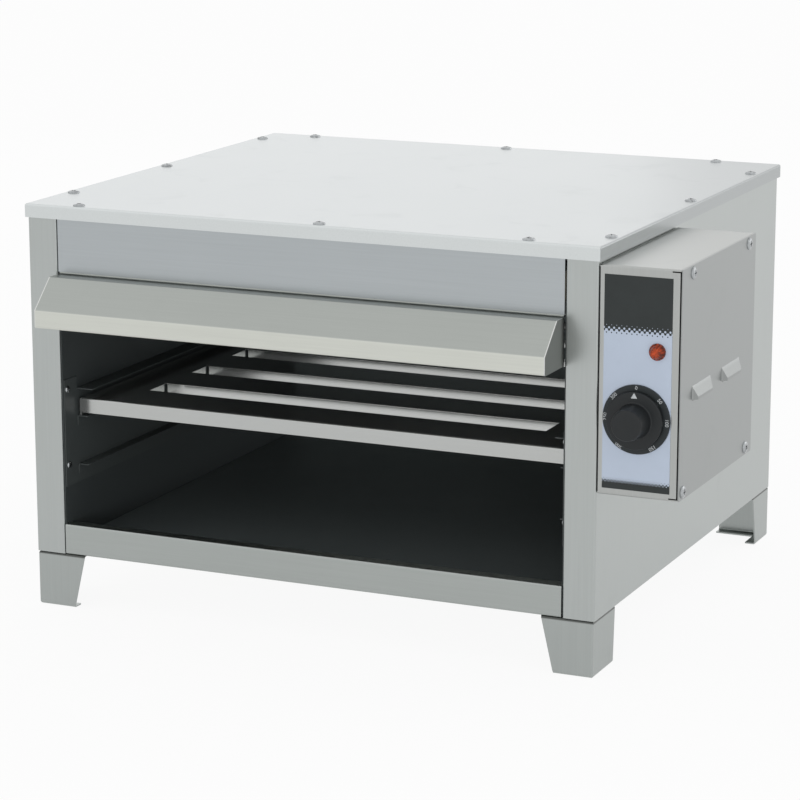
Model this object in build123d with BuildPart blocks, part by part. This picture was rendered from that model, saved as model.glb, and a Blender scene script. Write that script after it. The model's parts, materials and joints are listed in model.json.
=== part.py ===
from build123d import *
import os

# Electric salamander grill. A folded stainless cabinet, open at the front, stands on four sheet feet.
# A slotted rack slides out on side runners below tubular heating elements, and a control box with the
# thermostat sits on the right-hand side. Lengths are in millimetres, the front faces -Y, and the origin
# lies on the worktop under the middle of the overall box. Heights of the rail, floor and rack are measured
# from the underside of the cabinet, and what hangs in the upper part is measured down from the lid's seat.

# Sheets, folds and clearances
sheet = 1.0  # stainless casing sheet
liner_sheet = 1.0  # black inner sheets
bend = 2.0  # outer radius of a fold
fold_gap = 0.5  # room between folds that pass one another
seam_gap = 1.2  # open seam beside each front post
slide_gap = 0.3  # between a moving piece and its seat
shaft_gap = 0.05  # radial play of a turned fit
hole_gap = 0.2  # radial room of a clearance hole
overrun = 5.0  # how far a cut runs past what it opens

# Cabinet
body_width = 600.0
body_depth = 545.0
body_height = 354.0  # underside of the side panels to the seat of the lid
post_width = 32.0  # front post folded from each side panel
post_return = 20.0  # inner edge of the post, turned back
panel_flange = 20.0  # top, bottom and rear flanges of the side panels
back_flange = 15.0  # top flange of the back panel
back_panel_screw_shares = (0.12, 0.5, 0.88)  # along the height

# Lid
lid_overhang = 2.4
lid_flange = 13.5
lid_corner = 1.5  # radius of the folded corners, seen from above
lid_screw_inset = 10.0  # lid edge to screw axis
front_screw_shares = (0.09, 0.525, 0.88)  # along the width
back_screw_shares = (0.092, 0.483, 0.888)
left_screw_shares = (0.141, 0.5, 0.915)  # along the depth
right_screw_shares = (0.095, 0.51, 0.866)

# Screws
head_radius = 6.0  # truss heads of the casing screws
head_height = 2.2
head_rim = 1.4  # rounding of a head's edge
shank_radius = 2.0
shank_length = 6.0
small_head_radius = 3.6  # pan heads inside and below
small_shank_length = 4.0

# Feet
foot_height = 56.0
foot_sheet = 1.5
foot_inset = 1.0  # faces of the foot behind the cabinet's faces
foot_fold = 3.0  # outer radius of the foot's folds
foot_taper_top = 53.0  # face that narrows towards the floor
foot_taper_bottom = 40.0
foot_plain_top = 58.0  # face beside it
foot_plain_bottom = 54.0
foot_flange = 12.0  # turned in along the floor
foot_screw_inset = 11.0  # side of the cabinet to the screws
foot_screw_shares = (0.52, 0.82)  # along the foot's side, from the corner

# Lower front rail and base
rail_height = 31.0
rail_return = 15.0
rail_lip = 8.0

# Fascia and visor
fascia_flange = 15.0
fascia_height = 67.0  # lid seat to the top of the visor's ledge
visor_ledge = 18.0
visor_reach = 48.0
visor_drop = 28.5  # height of the slope
visor_lip = 17.5
visor_hem = 8.0
visor_tab = 16.0  # turned up behind the fascia

# Cooking space
floor_height = 12.0  # top of the black floor
ceiling_drop = 66.0  # lid seat to the underside of the reflector
reflector_flange = 12.0
liner_rise = 16.0  # reflector to the top of the side and rear liners
liner_flange = 26.0  # turned outwards over the side insulation
rear_room = 19.0  # outside of the back panel to the rear liner
rear_flange = 14.0  # turned backwards over the rear insulation
screw_room = 4.0  # kept free of insulation beside each sheet
top_insulation_depth = 40.0
rear_insulation_depth = 12.0
slab_setback = 5.0  # front posts to the side insulation

# Rack
rack_height = 156.0  # top of the rack
rack_setback = 28.0  # front of the cabinet to the rack's front face
rack_rear_gap = 6.0
rack_side_gap = 3.0
rack_skirt = 18.0  # side flanges, which stand on the ledges
rack_apron = 15.0  # front and rear flanges
slot_width = 36.0
slat_width = 55.0
slot_front_margin = 58.0
slot_rear_margin = 30.0  # least metal behind the last slot
slot_side_margin = 47.0
slot_flange = 12.0
slot_relief = 2.0  # open corners between the slot's flanges
slot_bend = 0.8

# Runners
runner_sheet = 1.0
guide_room = 10.0  # top of the rack to the top of the guide lip
guide_width = 18.0
ledge_width = 12.0
ledge_leg = 10.0
level_spacing = 50.0  # between the two rack levels
runner_foot = 9.0  # web below the lower ledge
tab_start = 4.0  # front of the cabinet to the runner's front tab
tab_rise = 12.0  # guide lip to the top of the tab
tab_screw_setback = 9.0
tab_screw_shares = (0.2, 0.91)  # along the height of the tab
rear_screw_inset = 16.0  # rear end of the runner to its screws
rear_screw_share = 0.6  # from the lower ledge to the upper one's leg

# Heating elements
element_radius = 4.0
element_drop = 26.0  # reflector to the axes of the tubes
element_spacing = 60.0  # between the two legs of a hairpin
element_margin = 74.7  # front and rear of the cooking space to the first and last legs
element_end_gap = 25.0  # hairpin end to the left liner
sheath_end = 8.0  # sheath past the right liner
bushing_radius = 7.0
bushing_flange_radius = 10.0
bushing_flange = 2.0
bushing_nut = 4.0
bead_radius = 3.5  # ceramic end bead
bead_length = 4.0
pin_radius = 2.0
pin_length = 14.0
hanger_shares = (0.32, 0.68)  # along the width of the cooking space
hanger_sheet = 1.5
hanger_flange = 12.0
hanger_margin = 22.0  # hanger past the first and last leg
hanger_drop = 8.0  # hanger below the element's axis

# Control box
box_width = 80.0  # cabinet side to the outside of the cover
box_depth = 215.0
box_height = 215.0
box_drop = 15.0  # lid seat to the top of the box
box_flange = 12.0
box_screw_inset = 8.0
panel_seam = 1.5  # open seam at each upright edge of the panel
panel_seam_depth = 5.0
panel_seam_margin = 2.2  # top or bottom of the box to the end of the seam
panel_notch = 9.0  # slit across the panel's corner at each end of the right seam
panel_notch_height = 1.2
cover_screw_shares = ((0.05, 0.034), (0.137, 0.966), (0.905, 0.966), (0.913, 0.034))  # (depth, height)
louvre_length = 52.0
louvre_height = 13.0
louvre_bulge = 4.5
louvre_draft = 5.0  # how far the hood draws in at its ends
louvre_mouth = 2.5  # straight lower edge of the hood
louvre_round = 0.9  # rounding of the hood's ridge
louvre_level = 89.0  # foot of the louvres above the bottom of the box
louvre_setback = 32.0  # front of the box to the first louvre
louvre_pitch = 86.0
louvre_count = 2
cable_hole_radius = 14.0  # wiring hole from the box into the cabinet
cable_hole_setback = 60.0
grommet_wall = 3.0
grommet_lip = 2.0

# Control panel
label_sheet = 0.4
label_drop = 8.5  # top of the box to the top of the label
label_foot = 6.5  # bottom of the box to the bottom of the label
label_side = 5.5  # cabinet side to the label
label_edge = 9.0  # outside of the cover to the label
dial_radius = 32.5
dial_sheet = 2.5
dial_rim = 0.8
dial_rise = 74.0  # bottom of the box to the dial's axis
dial_shift = 1.5  # middle of the box to the dial's axis
neck_radius = 5.0
neck_length = 7.0  # threaded neck of the thermostat, from the panel's back
nut_radius = 8.0
nut_depth = 2.5
lamp_climb = 138.5  # bottom of the box to the lamp's axis
lamp_inset = 22.5  # outside of the cover to the lamp's axis
lamp_radius = 7.8
lamp_rise = 7.0
lamp_rim = 2.0
lamp_ledge = 0.6  # rim outside the facets
lamp_crown_radius = 4.8
lamp_facets = 12
lamp_barrel_radius = 6.0
lamp_barrel_length = 34.0
lamp_nut_radius = 9.0
lamp_nut_depth = 3.0

# Knob
skirt_radius = 27.0
skirt_depth = 5.5
skirt_rim = 0.8
grip_base_radius = 16.5
grip_radius = 14.5
grip_depth = 22.0
grip_rim = 2.0
grip_cove = 1.2  # hollow fillet where the grip meets the skirt
pointer_length = 6.0
pointer_width = 6.0
pointer_depth = 0.4
pointer_inset = 1.0  # edge of the skirt to the tip of the pointer
nut_room = 1.5  # around the nut, under the knob
spindle_radius = 3.0
spindle_grip = 15.0  # spindle inside the knob
spindle_tail = 14.0  # spindle inside the thermostat

# Thermostat, sensor and wiring
thermostat_size = 46.0
thermostat_depth = 30.0
thermostat_corner = 4.0
capillary_radius = 0.8
capillary_bend = 6.0
bulb_radius = 3.0
bulb_length = 80.0
capillary_margin = 2.0  # edge of the grommet's bore to the capillary's axis
bulb_clearance = 4.0  # liner to the bulb
clip_width = 8.0
clip_sheet = 0.8
clip_shares = (0.2, 0.8)  # along the bulb
wire_radius = 1.5
wire_bend = 8.0
wire_gap = 0.2
wire_share = 0.55  # places of the wires in the grommet, along the radius of its bore
port_offset = 18.0  # thermostat's axis to its outer terminals
channel_margin = 20.0  # free of insulation around the heater terminals
block_length = 50.0
block_width = 36.0
block_height = 20.0
block_setback = 148.0  # front of the box to the terminal block
block_bore_radius = 3.0
block_bore_shares = (0.15, 0.5, 0.85)  # along the block
block_step = 6.0  # shoulder along each side of the block
gland_radius = 8.0
gland_bore_radius = 4.5
gland_hex_radius = 12.0  # across the corners
gland_flange = 5.0
gland_dome = 14.0
gland_shoulder = 2.0
gland_tail = 8.0
gland_nut = 4.0
gland_height = 35.0  # bottom of the box to the gland's axis

# Overall box and the planes that follow from it
box_reach = box_width + max(head_height, louvre_bulge)
body_left = -(lid_overhang + body_width + box_reach) / 2 + lid_overhang
body_right = body_left + body_width
body_front = -(visor_reach + body_depth + lid_overhang) / 2 + visor_reach
body_back = body_front + body_depth
base = foot_height
lid_seat = base + body_height
mid_x = (body_left + body_right) / 2
mid_plane = Plane.YZ.offset(mid_x)
up = (0, 0, 1)
down = (0, 0, -1)
left = (-1, 0, 0)
right = (1, 0, 0)
front = (0, -1, 0)
back = (0, 1, 0)
low_corner = (Align.MIN, Align.MIN)
mid_low = (Align.CENTER, Align.MIN)
left_mid = (Align.MIN, Align.CENTER)
right_mid = (Align.MAX, Align.CENTER)
from_seat = (Align.CENTER, Align.CENTER, Align.MIN)
below_seat = (Align.CENTER, Align.CENTER, Align.MAX)

post_left = body_left + post_width
post_right = body_right - post_width
set_left = post_left + seam_gap
set_right = post_right - seam_gap
set_width = set_right - set_left
panel_back = body_back - sheet  # outer face of the side panels' rear flanges
base_top = base + 2 * sheet  # upper face of the base panel
space_left = post_left + liner_sheet
space_right = post_right - liner_sheet
space_width = space_right - space_left
space_front = body_front + 2 * sheet + fold_gap
space_back = body_back - rear_room
space_depth = space_back - space_front
ceiling = lid_seat - ceiling_drop
liner_top = ceiling + liner_rise
element_level = ceiling - element_drop
hole_radius = shank_radius + hole_gap

os.makedirs("parts", exist_ok=True)


def save(piece, name):
    """Label a finished piece and write it."""
    piece.label = name
    export_step(piece, f"parts/{name}.step")


def fold(plane, corners, side, thickness=sheet, radius=bend):
    """Section of a folded sheet: an open line of corners, rounded at each fold and thickened to one side."""
    with BuildSketch(plane) as section:
        with BuildLine():
            FilletPolyline(*corners, radius=radius)
            offset(amount=thickness, side=side)
        make_face()
    return section.sketch


def seats(points, direction):
    """Planes at the points, facing along the direction."""
    return [Plane(origin=point, z_dir=direction) for point in points]


def screws(points, direction, radius, length):
    """Round-headed screws on a flat face, one solid each."""
    with BuildPart() as group:
        with Locations(*seats(points, direction)):
            Cylinder(radius, head_height, align=from_seat)
        fillet(group.edges().group_by(Axis((0, 0, 0), direction))[-1], radius=head_rim)
        with Locations(*seats(points, direction)):
            Cylinder(shank_radius, length, align=below_seat)
    return group.part


def tube(points, radius, corner):
    """Round wire or tube along straight runs joined by arcs."""
    with BuildPart() as run:
        with BuildLine() as route:
            FilletPolyline(*points, radius=corner)
        with BuildSketch(Plane(origin=route.line @ 0, z_dir=route.line % 0)):
            Circle(radius)
        sweep()
    return run.part


def mirrored(piece):
    """The piece on the other side of the cabinet."""
    with BuildPart() as other:
        mirror(piece, about=mid_plane)
    return other.part


# Lid screws, along the four edges of the lid
lid_left = body_left - lid_overhang
lid_front = body_front - lid_overhang
lid_width = body_width + 2 * lid_overhang
lid_depth = body_depth + 2 * lid_overhang
lid_top = lid_seat + sheet
screw_row_front = lid_front + lid_screw_inset
screw_row_back = lid_front + lid_depth - lid_screw_inset
screw_row_left = lid_left + lid_screw_inset
screw_row_right = lid_left + lid_width - lid_screw_inset
lid_screw_points = [
    *[(body_left + s * body_width, screw_row_front, lid_top) for s in front_screw_shares],
    *[(body_left + s * body_width, screw_row_back, lid_top) for s in back_screw_shares],
    *[(screw_row_left, body_front + s * body_depth, lid_top) for s in left_screw_shares],
    *[(screw_row_right, body_front + s * body_depth, lid_top) for s in right_screw_shares],
]

# Levels of the rack and its runners, and the left runner's screws: two in the front tab, one at the rear
rack_top = base + rack_height
upper_ledge = rack_top - rack_skirt - slide_gap
lower_ledge = upper_ledge - level_spacing
runner_bottom = lower_ledge - ledge_leg - runner_foot
guide_top = rack_top + guide_room
tab_height = guide_top + tab_rise - runner_bottom
runner_face = space_left + runner_sheet
runner_front = body_front + rack_setback
runner_back = space_back - fold_gap
rear_screw_level = lower_ledge + rear_screw_share * (level_spacing - ledge_leg)
tab_screw_row = body_front + tab_screw_setback
runner_screw_points = [
    *[(runner_face, tab_screw_row, runner_bottom + s * tab_height) for s in tab_screw_shares],
    (runner_face, runner_back - rear_screw_inset, rear_screw_level),
]

# Fixing points of the control box on the cabinet's side
box_left = body_right
box_right = body_right + box_width - sheet
box_front = body_front
box_back = box_front + box_depth
box_top = lid_seat - box_drop
box_bottom = box_top - box_height
box_screw_points = [
    (box_left + sheet, y, z)
    for y in (box_front + box_screw_inset, box_back - box_screw_inset)
    for z in (box_bottom + box_screw_inset, box_top - box_screw_inset)
]
grommet_bore = cable_hole_radius - grommet_wall
wire_room = wire_share * grommet_bore
cable_hole = (body_right, body_front + cable_hole_setback, element_level - wire_room)
cover_screw_points = [
    (box_right + sheet, box_front + along * box_depth, box_bottom + rise * box_height)
    for along, rise in cover_screw_shares
]

# Screws of the feet and of the back panel
foot_screw_points = [
    (x, y, base - foot_sheet)
    for x in (body_left + foot_screw_inset, body_right - foot_screw_inset)
    for y in (
        *[body_front + foot_inset + s * foot_plain_bottom for s in foot_screw_shares],
        *[body_back - foot_inset - s * foot_plain_bottom for s in foot_screw_shares],
    )
]
back_screw_points = [
    (x, body_back, base + s * body_height)
    for x in (body_left + panel_flange / 2, body_right - panel_flange / 2)
    for s in back_panel_screw_shares
]

# Legs of the heating elements, from front to back
first_centre = space_front + element_margin + element_spacing / 2
last_centre = space_back - element_margin - element_spacing / 2
element_centres = [first_centre, (first_centre + last_centre) / 2, last_centre]
leg_places = [y + d for y in element_centres for d in (-element_spacing / 2, element_spacing / 2)]
leg_points = [(post_right, y, element_level) for y in leg_places]
bulb_z = cable_hole[2] - grommet_bore + capillary_margin
capillary_hole = (post_right, cable_hole[1], bulb_z)

# Axes on the control panel
panel_face = box_front - label_sheet
dial_x = body_right + box_width / 2 - dial_shift
dial_z = box_bottom + dial_rise
dial_face = panel_face - dial_sheet
lamp_x = body_right + box_width - lamp_inset
lamp_z = box_bottom + lamp_climb
gland_z = box_bottom + gland_height


def turned(centre_x, centre_z, outline):
    """Piece turned about an axis along Y, from an outline of (radius, y) corners."""
    with BuildPart() as piece:
        with BuildSketch(Plane(origin=(centre_x, 0, centre_z), x_dir=right, z_dir=up)):
            with BuildLine():
                Polyline(*outline, close=True)
            make_face()
        revolve(axis=Axis((centre_x, 0, centre_z), back))
    return piece.part


# Side panels: front return, post, side and rear flange in one fold, with flanges for the lid and the feet
with BuildPart() as left_side_panel:
    extrude(
        fold(
            Plane.XY.offset(base),
            [
                (post_left, body_front + post_return),
                (post_left, body_front),
                (body_left, body_front),
                (body_left, panel_back),
                (body_left + panel_flange, panel_back),
            ],
            Side.RIGHT,
        ),
        amount=body_height,
    )
    with BuildSketch(Plane.XY.offset(base), Plane.XY.offset(lid_seat - sheet)):
        with Locations((body_left + sheet, body_front + post_return + fold_gap)):
            Rectangle(
                panel_flange - sheet,
                body_depth - post_return - fold_gap - 2 * sheet,
                align=low_corner,
            )
    extrude(amount=sheet)
    with Locations(*seats(foot_screw_points, down)):
        Hole(hole_radius, depth=foot_sheet + 2 * sheet)
    with Locations(*seats(back_screw_points, back)):
        Hole(hole_radius, depth=3 * sheet)
    with Locations(*seats(runner_screw_points, right)):
        Hole(hole_radius, depth=runner_sheet + liner_sheet + 2 * sheet)
    side_blank = left_side_panel.part
    with Locations(*seats(lid_screw_points, up)):
        Hole(hole_radius, depth=3 * sheet)
save(left_side_panel.part, "left_side_panel")

with BuildPart() as right_side_panel:
    mirror(side_blank, about=mid_plane)
    with Locations(*seats(lid_screw_points, up)):
        Hole(hole_radius, depth=3 * sheet)
    with Locations(*seats(box_screw_points, right)):
        Hole(hole_radius, depth=3 * sheet)
    with Locations(*seats([cable_hole], right)):
        Hole(cable_hole_radius, depth=2 * sheet)
save(right_side_panel.part, "right_side_panel")

# Back panel, screwed on the side panels' rear flanges, with a top flange under the lid
with BuildPart() as back_panel:
    extrude(
        fold(
            Plane.YZ.offset(body_left + panel_flange + fold_gap),
            [(body_back - back_flange, lid_seat), (body_back, lid_seat), (body_back, base)],
            Side.RIGHT,
        ),
        amount=body_width - 2 * (panel_flange + fold_gap),
    )
    with BuildSketch(Plane.XZ.offset(-panel_back)):
        with Locations((body_left + bend, base)):
            Rectangle(body_width - 2 * bend, body_height - bend, align=low_corner)
    extrude(amount=-sheet)
    with Locations(*seats(lid_screw_points, up)):
        Hole(hole_radius, depth=3 * sheet)
    with Locations(*seats(back_screw_points, back)):
        Hole(hole_radius, depth=2 * sheet)
save(back_panel.part, "back_panel")
save(screws(back_screw_points, back, small_head_radius, small_shank_length), "back_panel_screws")

# Base panel, on the bottom flanges, with a tongue between the posts
with BuildPart() as base_panel:
    with BuildSketch(Plane.XY.offset(base + sheet)):
        with Locations((body_left + sheet, body_front + post_return + fold_gap)):
            Rectangle(
                body_width - 2 * sheet,
                body_depth - post_return - fold_gap - sheet - bend,
                align=low_corner,
            )
        with Locations((set_left, body_front + bend + fold_gap)):
            Rectangle(set_width, post_return, align=low_corner)
    extrude(amount=sheet)
    with Locations(*seats(foot_screw_points, down)):
        Hole(hole_radius, depth=foot_sheet + 3 * sheet)
save(base_panel.part, "base_panel")

# Lower front rail, a channel with a turned-down rear lip
rail_top = base + rail_height
with BuildPart() as lower_front_rail:
    extrude(
        fold(
            Plane.YZ.offset(set_left),
            [
                (body_front + rail_return, base),
                (body_front, base),
                (body_front, rail_top),
                (body_front + rail_return, rail_top),
                (body_front + rail_return, rail_top - rail_lip),
            ],
            Side.RIGHT,
        ),
        amount=set_width,
    )
save(lower_front_rail.part, "lower_front_rail")

# Fascia between the posts, with a top flange under the lid
visor_top = lid_seat - fascia_height
with BuildPart() as front_fascia:
    extrude(
        fold(
            Plane.YZ.offset(set_left),
            [
                (body_front + fascia_flange, lid_seat),
                (body_front, lid_seat),
                (body_front, visor_top + bend),
            ],
            Side.LEFT,
        ),
        amount=set_width,
    )
    with Locations(*seats(lid_screw_points, up)):
        Hole(hole_radius, depth=3 * sheet)
save(front_fascia.part, "front_fascia")

# Visor: tab behind the fascia, ledge, slope, lip and hem, closed by a cap at each end
visor_edge = visor_top - visor_drop
visor_bottom = visor_edge - visor_lip
visor_line = [
    (body_front - visor_ledge, visor_top),
    (body_front - visor_reach, visor_edge),
    (body_front - visor_reach, visor_bottom),
]
with BuildPart() as visor:
    extrude(
        fold(
            Plane.YZ.offset(set_left + sheet),
            [
                (body_front + sheet, visor_top + visor_tab),
                (body_front + sheet, visor_top),
                *visor_line,
                (body_front - visor_reach + visor_hem, visor_bottom),
            ],
            Side.LEFT,
        ),
        amount=set_width - 2 * sheet,
    )
save(visor.part, "visor")

with BuildPart() as visor_end_caps:
    with BuildSketch(Plane.YZ.offset(set_left), Plane.YZ.offset(set_right - sheet)):
        with BuildLine():
            Polyline((body_front, visor_top), *visor_line, (body_front, visor_bottom), close=True)
        make_face()
    extrude(amount=sheet)
    front_corners = visor_end_caps.edges().filter_by(Axis.X).filter_by_position(
        Axis.Y, body_front - visor_reach - sheet, body_front - sheet
    )
    fillet(front_corners, radius=bend)
save(visor_end_caps.part, "visor_end_caps")

# Lid, a shallow tray turned down all round
with BuildPart() as lid:
    with BuildSketch(Plane.XY.offset(lid_top - lid_flange)):
        with Locations((lid_left, lid_front)):
            Rectangle(lid_width, lid_depth, align=low_corner)
    extrude(amount=lid_flange)
    fillet(lid.edges().filter_by(Axis.Z), radius=lid_corner)
    fillet(lid.faces().sort_by(Axis.Z)[-1].edges(), radius=bend)
    offset(amount=-sheet, openings=lid.faces().sort_by(Axis.Z)[0])
    with Locations(*seats(lid_screw_points, up)):
        Hole(hole_radius, depth=2 * sheet)
save(lid.part, "lid")
save(screws(lid_screw_points, up, head_radius, shank_length), "lid_screws")


def corner_block(corner, inward, along_x, along_y, levels, radius):
    """Solid block behind an outer corner, tapered between two levels, with its outer edges rounded."""
    x, y = corner
    with BuildPart() as block:
        for level, wide, deep in zip(levels, along_x, along_y):
            with BuildSketch(Plane.XY.offset(level)):
                with Locations((x + inward[0] * wide / 2, y + inward[1] * deep / 2)):
                    Rectangle(wide, deep)
        loft()
        edges = block.edges()
        fillet(
            edges.filter_by(Axis.Z)
            + edges.filter_by(Axis.Y).filter_by_position(Axis.X, x - foot_sheet, x + foot_sheet)
            + edges.filter_by(Axis.X).filter_by_position(Axis.Y, y - foot_sheet, y + foot_sheet),
            radius=radius,
        )
    return block.part


def foot(corner, inward, along_x, along_y):
    """Sheet foot: two outer faces, a mounting plate on top and flanges turned in along the floor.

    corner is the outer corner, inward the signs towards the middle, along_x and along_y the (top, bottom)
    widths of the two faces."""
    x, y = corner
    inner_corner = (x + inward[0] * foot_sheet, y + inward[1] * foot_sheet)
    past_x = [wide + overrun for wide in along_x]
    past_y = [deep + overrun for deep in along_y]
    inner_levels = (foot_height - foot_sheet, foot_sheet)
    with BuildPart() as leg:
        add(corner_block(corner, inward, along_x, along_y, (foot_height, 0), foot_fold))
        add(
            corner_block(inner_corner, inward, past_x, past_y, inner_levels, foot_fold - foot_sheet),
            mode=Mode.SUBTRACT,
        )
        with BuildSketch(Plane.XY):
            middle_x = x + inward[0] * (foot_flange + past_x[0])
            middle_y = y + inward[1] * (foot_flange + past_y[0])
            with Locations((middle_x, middle_y)):
                Rectangle(2 * past_x[0], 2 * past_y[0])
        extrude(amount=foot_fold, mode=Mode.SUBTRACT)
        with Locations(*seats(foot_screw_points, down)):
            Hole(hole_radius, depth=2 * foot_sheet)
    return leg.part


foot_left = body_left + foot_inset
foot_right = body_right - foot_inset
foot_front = body_front + foot_inset
foot_back = body_back - foot_inset
taper = (foot_taper_top, foot_taper_bottom)
plain = (foot_plain_top, foot_plain_bottom)
save(foot((foot_left, foot_front), (1, 1), taper, plain), "front_left_foot")
save(foot((foot_right, foot_front), (-1, 1), taper, plain), "front_right_foot")
save(foot((foot_left, foot_back), (1, -1), plain, taper), "rear_left_foot")
save(foot((foot_right, foot_back), (-1, -1), plain, taper), "rear_right_foot")
save(screws(foot_screw_points, down, small_head_radius, foot_sheet + 2 * sheet), "foot_screws")

# Black side walls, each with a flange turned out over the side insulation
with BuildPart() as left_liner:
    extrude(
        fold(
            Plane.XZ.offset(-(body_front + bend + fold_gap)),
            [
                (space_left - liner_flange, liner_top),
                (space_left, liner_top),
                (space_left, base_top),
            ],
            Side.RIGHT,
            liner_sheet,
        ),
        amount=-(space_back - body_front - bend - fold_gap),
    )
    with BuildSketch(Plane.XY.offset(liner_top)):
        with Locations((body_left, body_front)):
            Rectangle(post_width, post_return + fold_gap, align=low_corner)
    extrude(amount=-bend, mode=Mode.SUBTRACT)
    with Locations(*seats(runner_screw_points, right)):
        Hole(hole_radius, depth=runner_sheet + 2 * liner_sheet)
save(left_liner.part, "left_liner")

with BuildPart() as right_liner:
    mirror(left_liner.part, about=mid_plane)
    with Locations(*seats(leg_points, right)):
        Hole(bushing_radius + hole_gap, depth=2 * liner_sheet)
    with Locations(*seats([capillary_hole], right)):
        Hole(capillary_radius + hole_gap, depth=2 * liner_sheet)
save(right_liner.part, "right_liner")

# Black rear wall with a flange turned back over the rear insulation
with BuildPart() as rear_liner:
    extrude(
        fold(
            Plane.YZ.offset(post_left),
            [(space_back + rear_flange, liner_top), (space_back, liner_top), (space_back, base_top)],
            Side.LEFT,
            liner_sheet,
        ),
        amount=post_right - post_left,
    )
save(rear_liner.part, "rear_liner")


def tray(low, high, open_face):
    """Shallow tray of black sheet between two corners, with folded edges round its floor."""
    with BuildPart() as pan:
        with BuildSketch(Plane.XY.offset(low[2])):
            with Locations((low[0], low[1])):
                Rectangle(high[0] - low[0], high[1] - low[1], align=low_corner)
        extrude(amount=high[2] - low[2])
        levels = pan.faces().sort_by(Axis.Z)
        fillet(levels[-1 - open_face].edges(), radius=bend)
        offset(amount=-liner_sheet, openings=pan.faces().sort_by(Axis.Z)[open_face])
    return pan.part


floor_front = body_front + rail_return + fold_gap
floor_top = base + floor_height
reflector_top = ceiling + reflector_flange
floor_liner = tray((space_left, floor_front, base_top), (space_right, space_back, floor_top), 0)
save(floor_liner, "floor_liner")
ceiling_reflector = tray((space_left, space_front, ceiling), (space_right, space_back, reflector_top), -1)
save(ceiling_reflector, "ceiling_reflector")

# Insulation slabs, kept clear of the sheets that screws pass through
slab_front = body_front + post_return + slab_setback
slab_top = liner_top - bend
with BuildPart() as left_insulation:
    with BuildSketch(Plane.XY.offset(base_top)):
        with Locations((body_left + sheet + screw_room, slab_front)):
            Rectangle(
                post_width - sheet - 2 * screw_room,
                panel_back - sheet - screw_room - slab_front,
                align=low_corner,
            )
    extrude(amount=slab_top - base_top)
save(left_insulation.part, "left_insulation")

channel_front = cable_hole[1] - channel_margin
channel_back = leg_places[-1] + channel_margin
channel_bottom = capillary_hole[2] - channel_margin
with BuildPart() as right_insulation:
    mirror(left_insulation.part, about=mid_plane)
    with BuildSketch(Plane.YZ.offset(post_right)):
        with Locations((channel_front, channel_bottom)):
            Rectangle(
                channel_back - channel_front,
                element_level + channel_margin - channel_bottom,
                align=low_corner,
            )
    extrude(amount=post_width, mode=Mode.SUBTRACT)
save(right_insulation.part, "right_insulation")

with BuildPart() as rear_insulation:
    with BuildSketch(Plane.XY.offset(base_top)):
        with Locations((space_left, space_back + liner_sheet)):
            Rectangle(space_width, rear_insulation_depth, align=low_corner)
    extrude(amount=slab_top - base_top)
save(rear_insulation.part, "rear_insulation")

with BuildPart() as top_insulation:
    with BuildSketch(Plane.XY.offset(ceiling + liner_sheet)):
        with Locations((space_left + bend, space_front + bend)):
            Rectangle(space_width - 2 * bend, space_depth - 2 * bend, align=low_corner)
    extrude(amount=top_insulation_depth)
save(top_insulation.part, "top_insulation")

# Runner: web with a guide lip, a taller front tab, and two ledges for the rack
tab_front = body_front + tab_start
with BuildPart() as left_runner:
    extrude(
        fold(
            Plane.XZ.offset(-runner_front),
            [
                (runner_face + guide_width, guide_top),
                (space_left, guide_top),
                (space_left, runner_bottom),
            ],
            Side.LEFT,
            runner_sheet,
        ),
        amount=-(runner_back - runner_front),
    )
    with BuildSketch(Plane.YZ.offset(space_left)):
        with Locations((tab_front, runner_bottom)):
            Rectangle(runner_front - tab_front, tab_height, align=low_corner)
    extrude(amount=runner_sheet)
    with Locations(*seats(runner_screw_points, right)):
        Hole(hole_radius, depth=2 * runner_sheet)
save(left_runner.part, "left_runner")
save(mirrored(left_runner.part), "right_runner")

with BuildPart() as left_runner_ledges:
    for ledge in (upper_ledge, lower_ledge):
        extrude(
            fold(
                Plane.XZ.offset(-runner_front),
                [
                    (runner_face + ledge_width, ledge),
                    (runner_face, ledge),
                    (runner_face, ledge - ledge_leg),
                ],
                Side.LEFT,
                runner_sheet,
            ),
            amount=-(runner_back - runner_front),
        )
save(left_runner_ledges.part, "left_runner_ledges")
save(mirrored(left_runner_ledges.part), "right_runner_ledges")

left_runner_screws = screws(runner_screw_points, right, small_head_radius, small_shank_length)
with BuildPart() as runner_screws:
    add(left_runner_screws)
    mirror(left_runner_screws, about=mid_plane)
save(runner_screws.part, "runner_screws")

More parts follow.
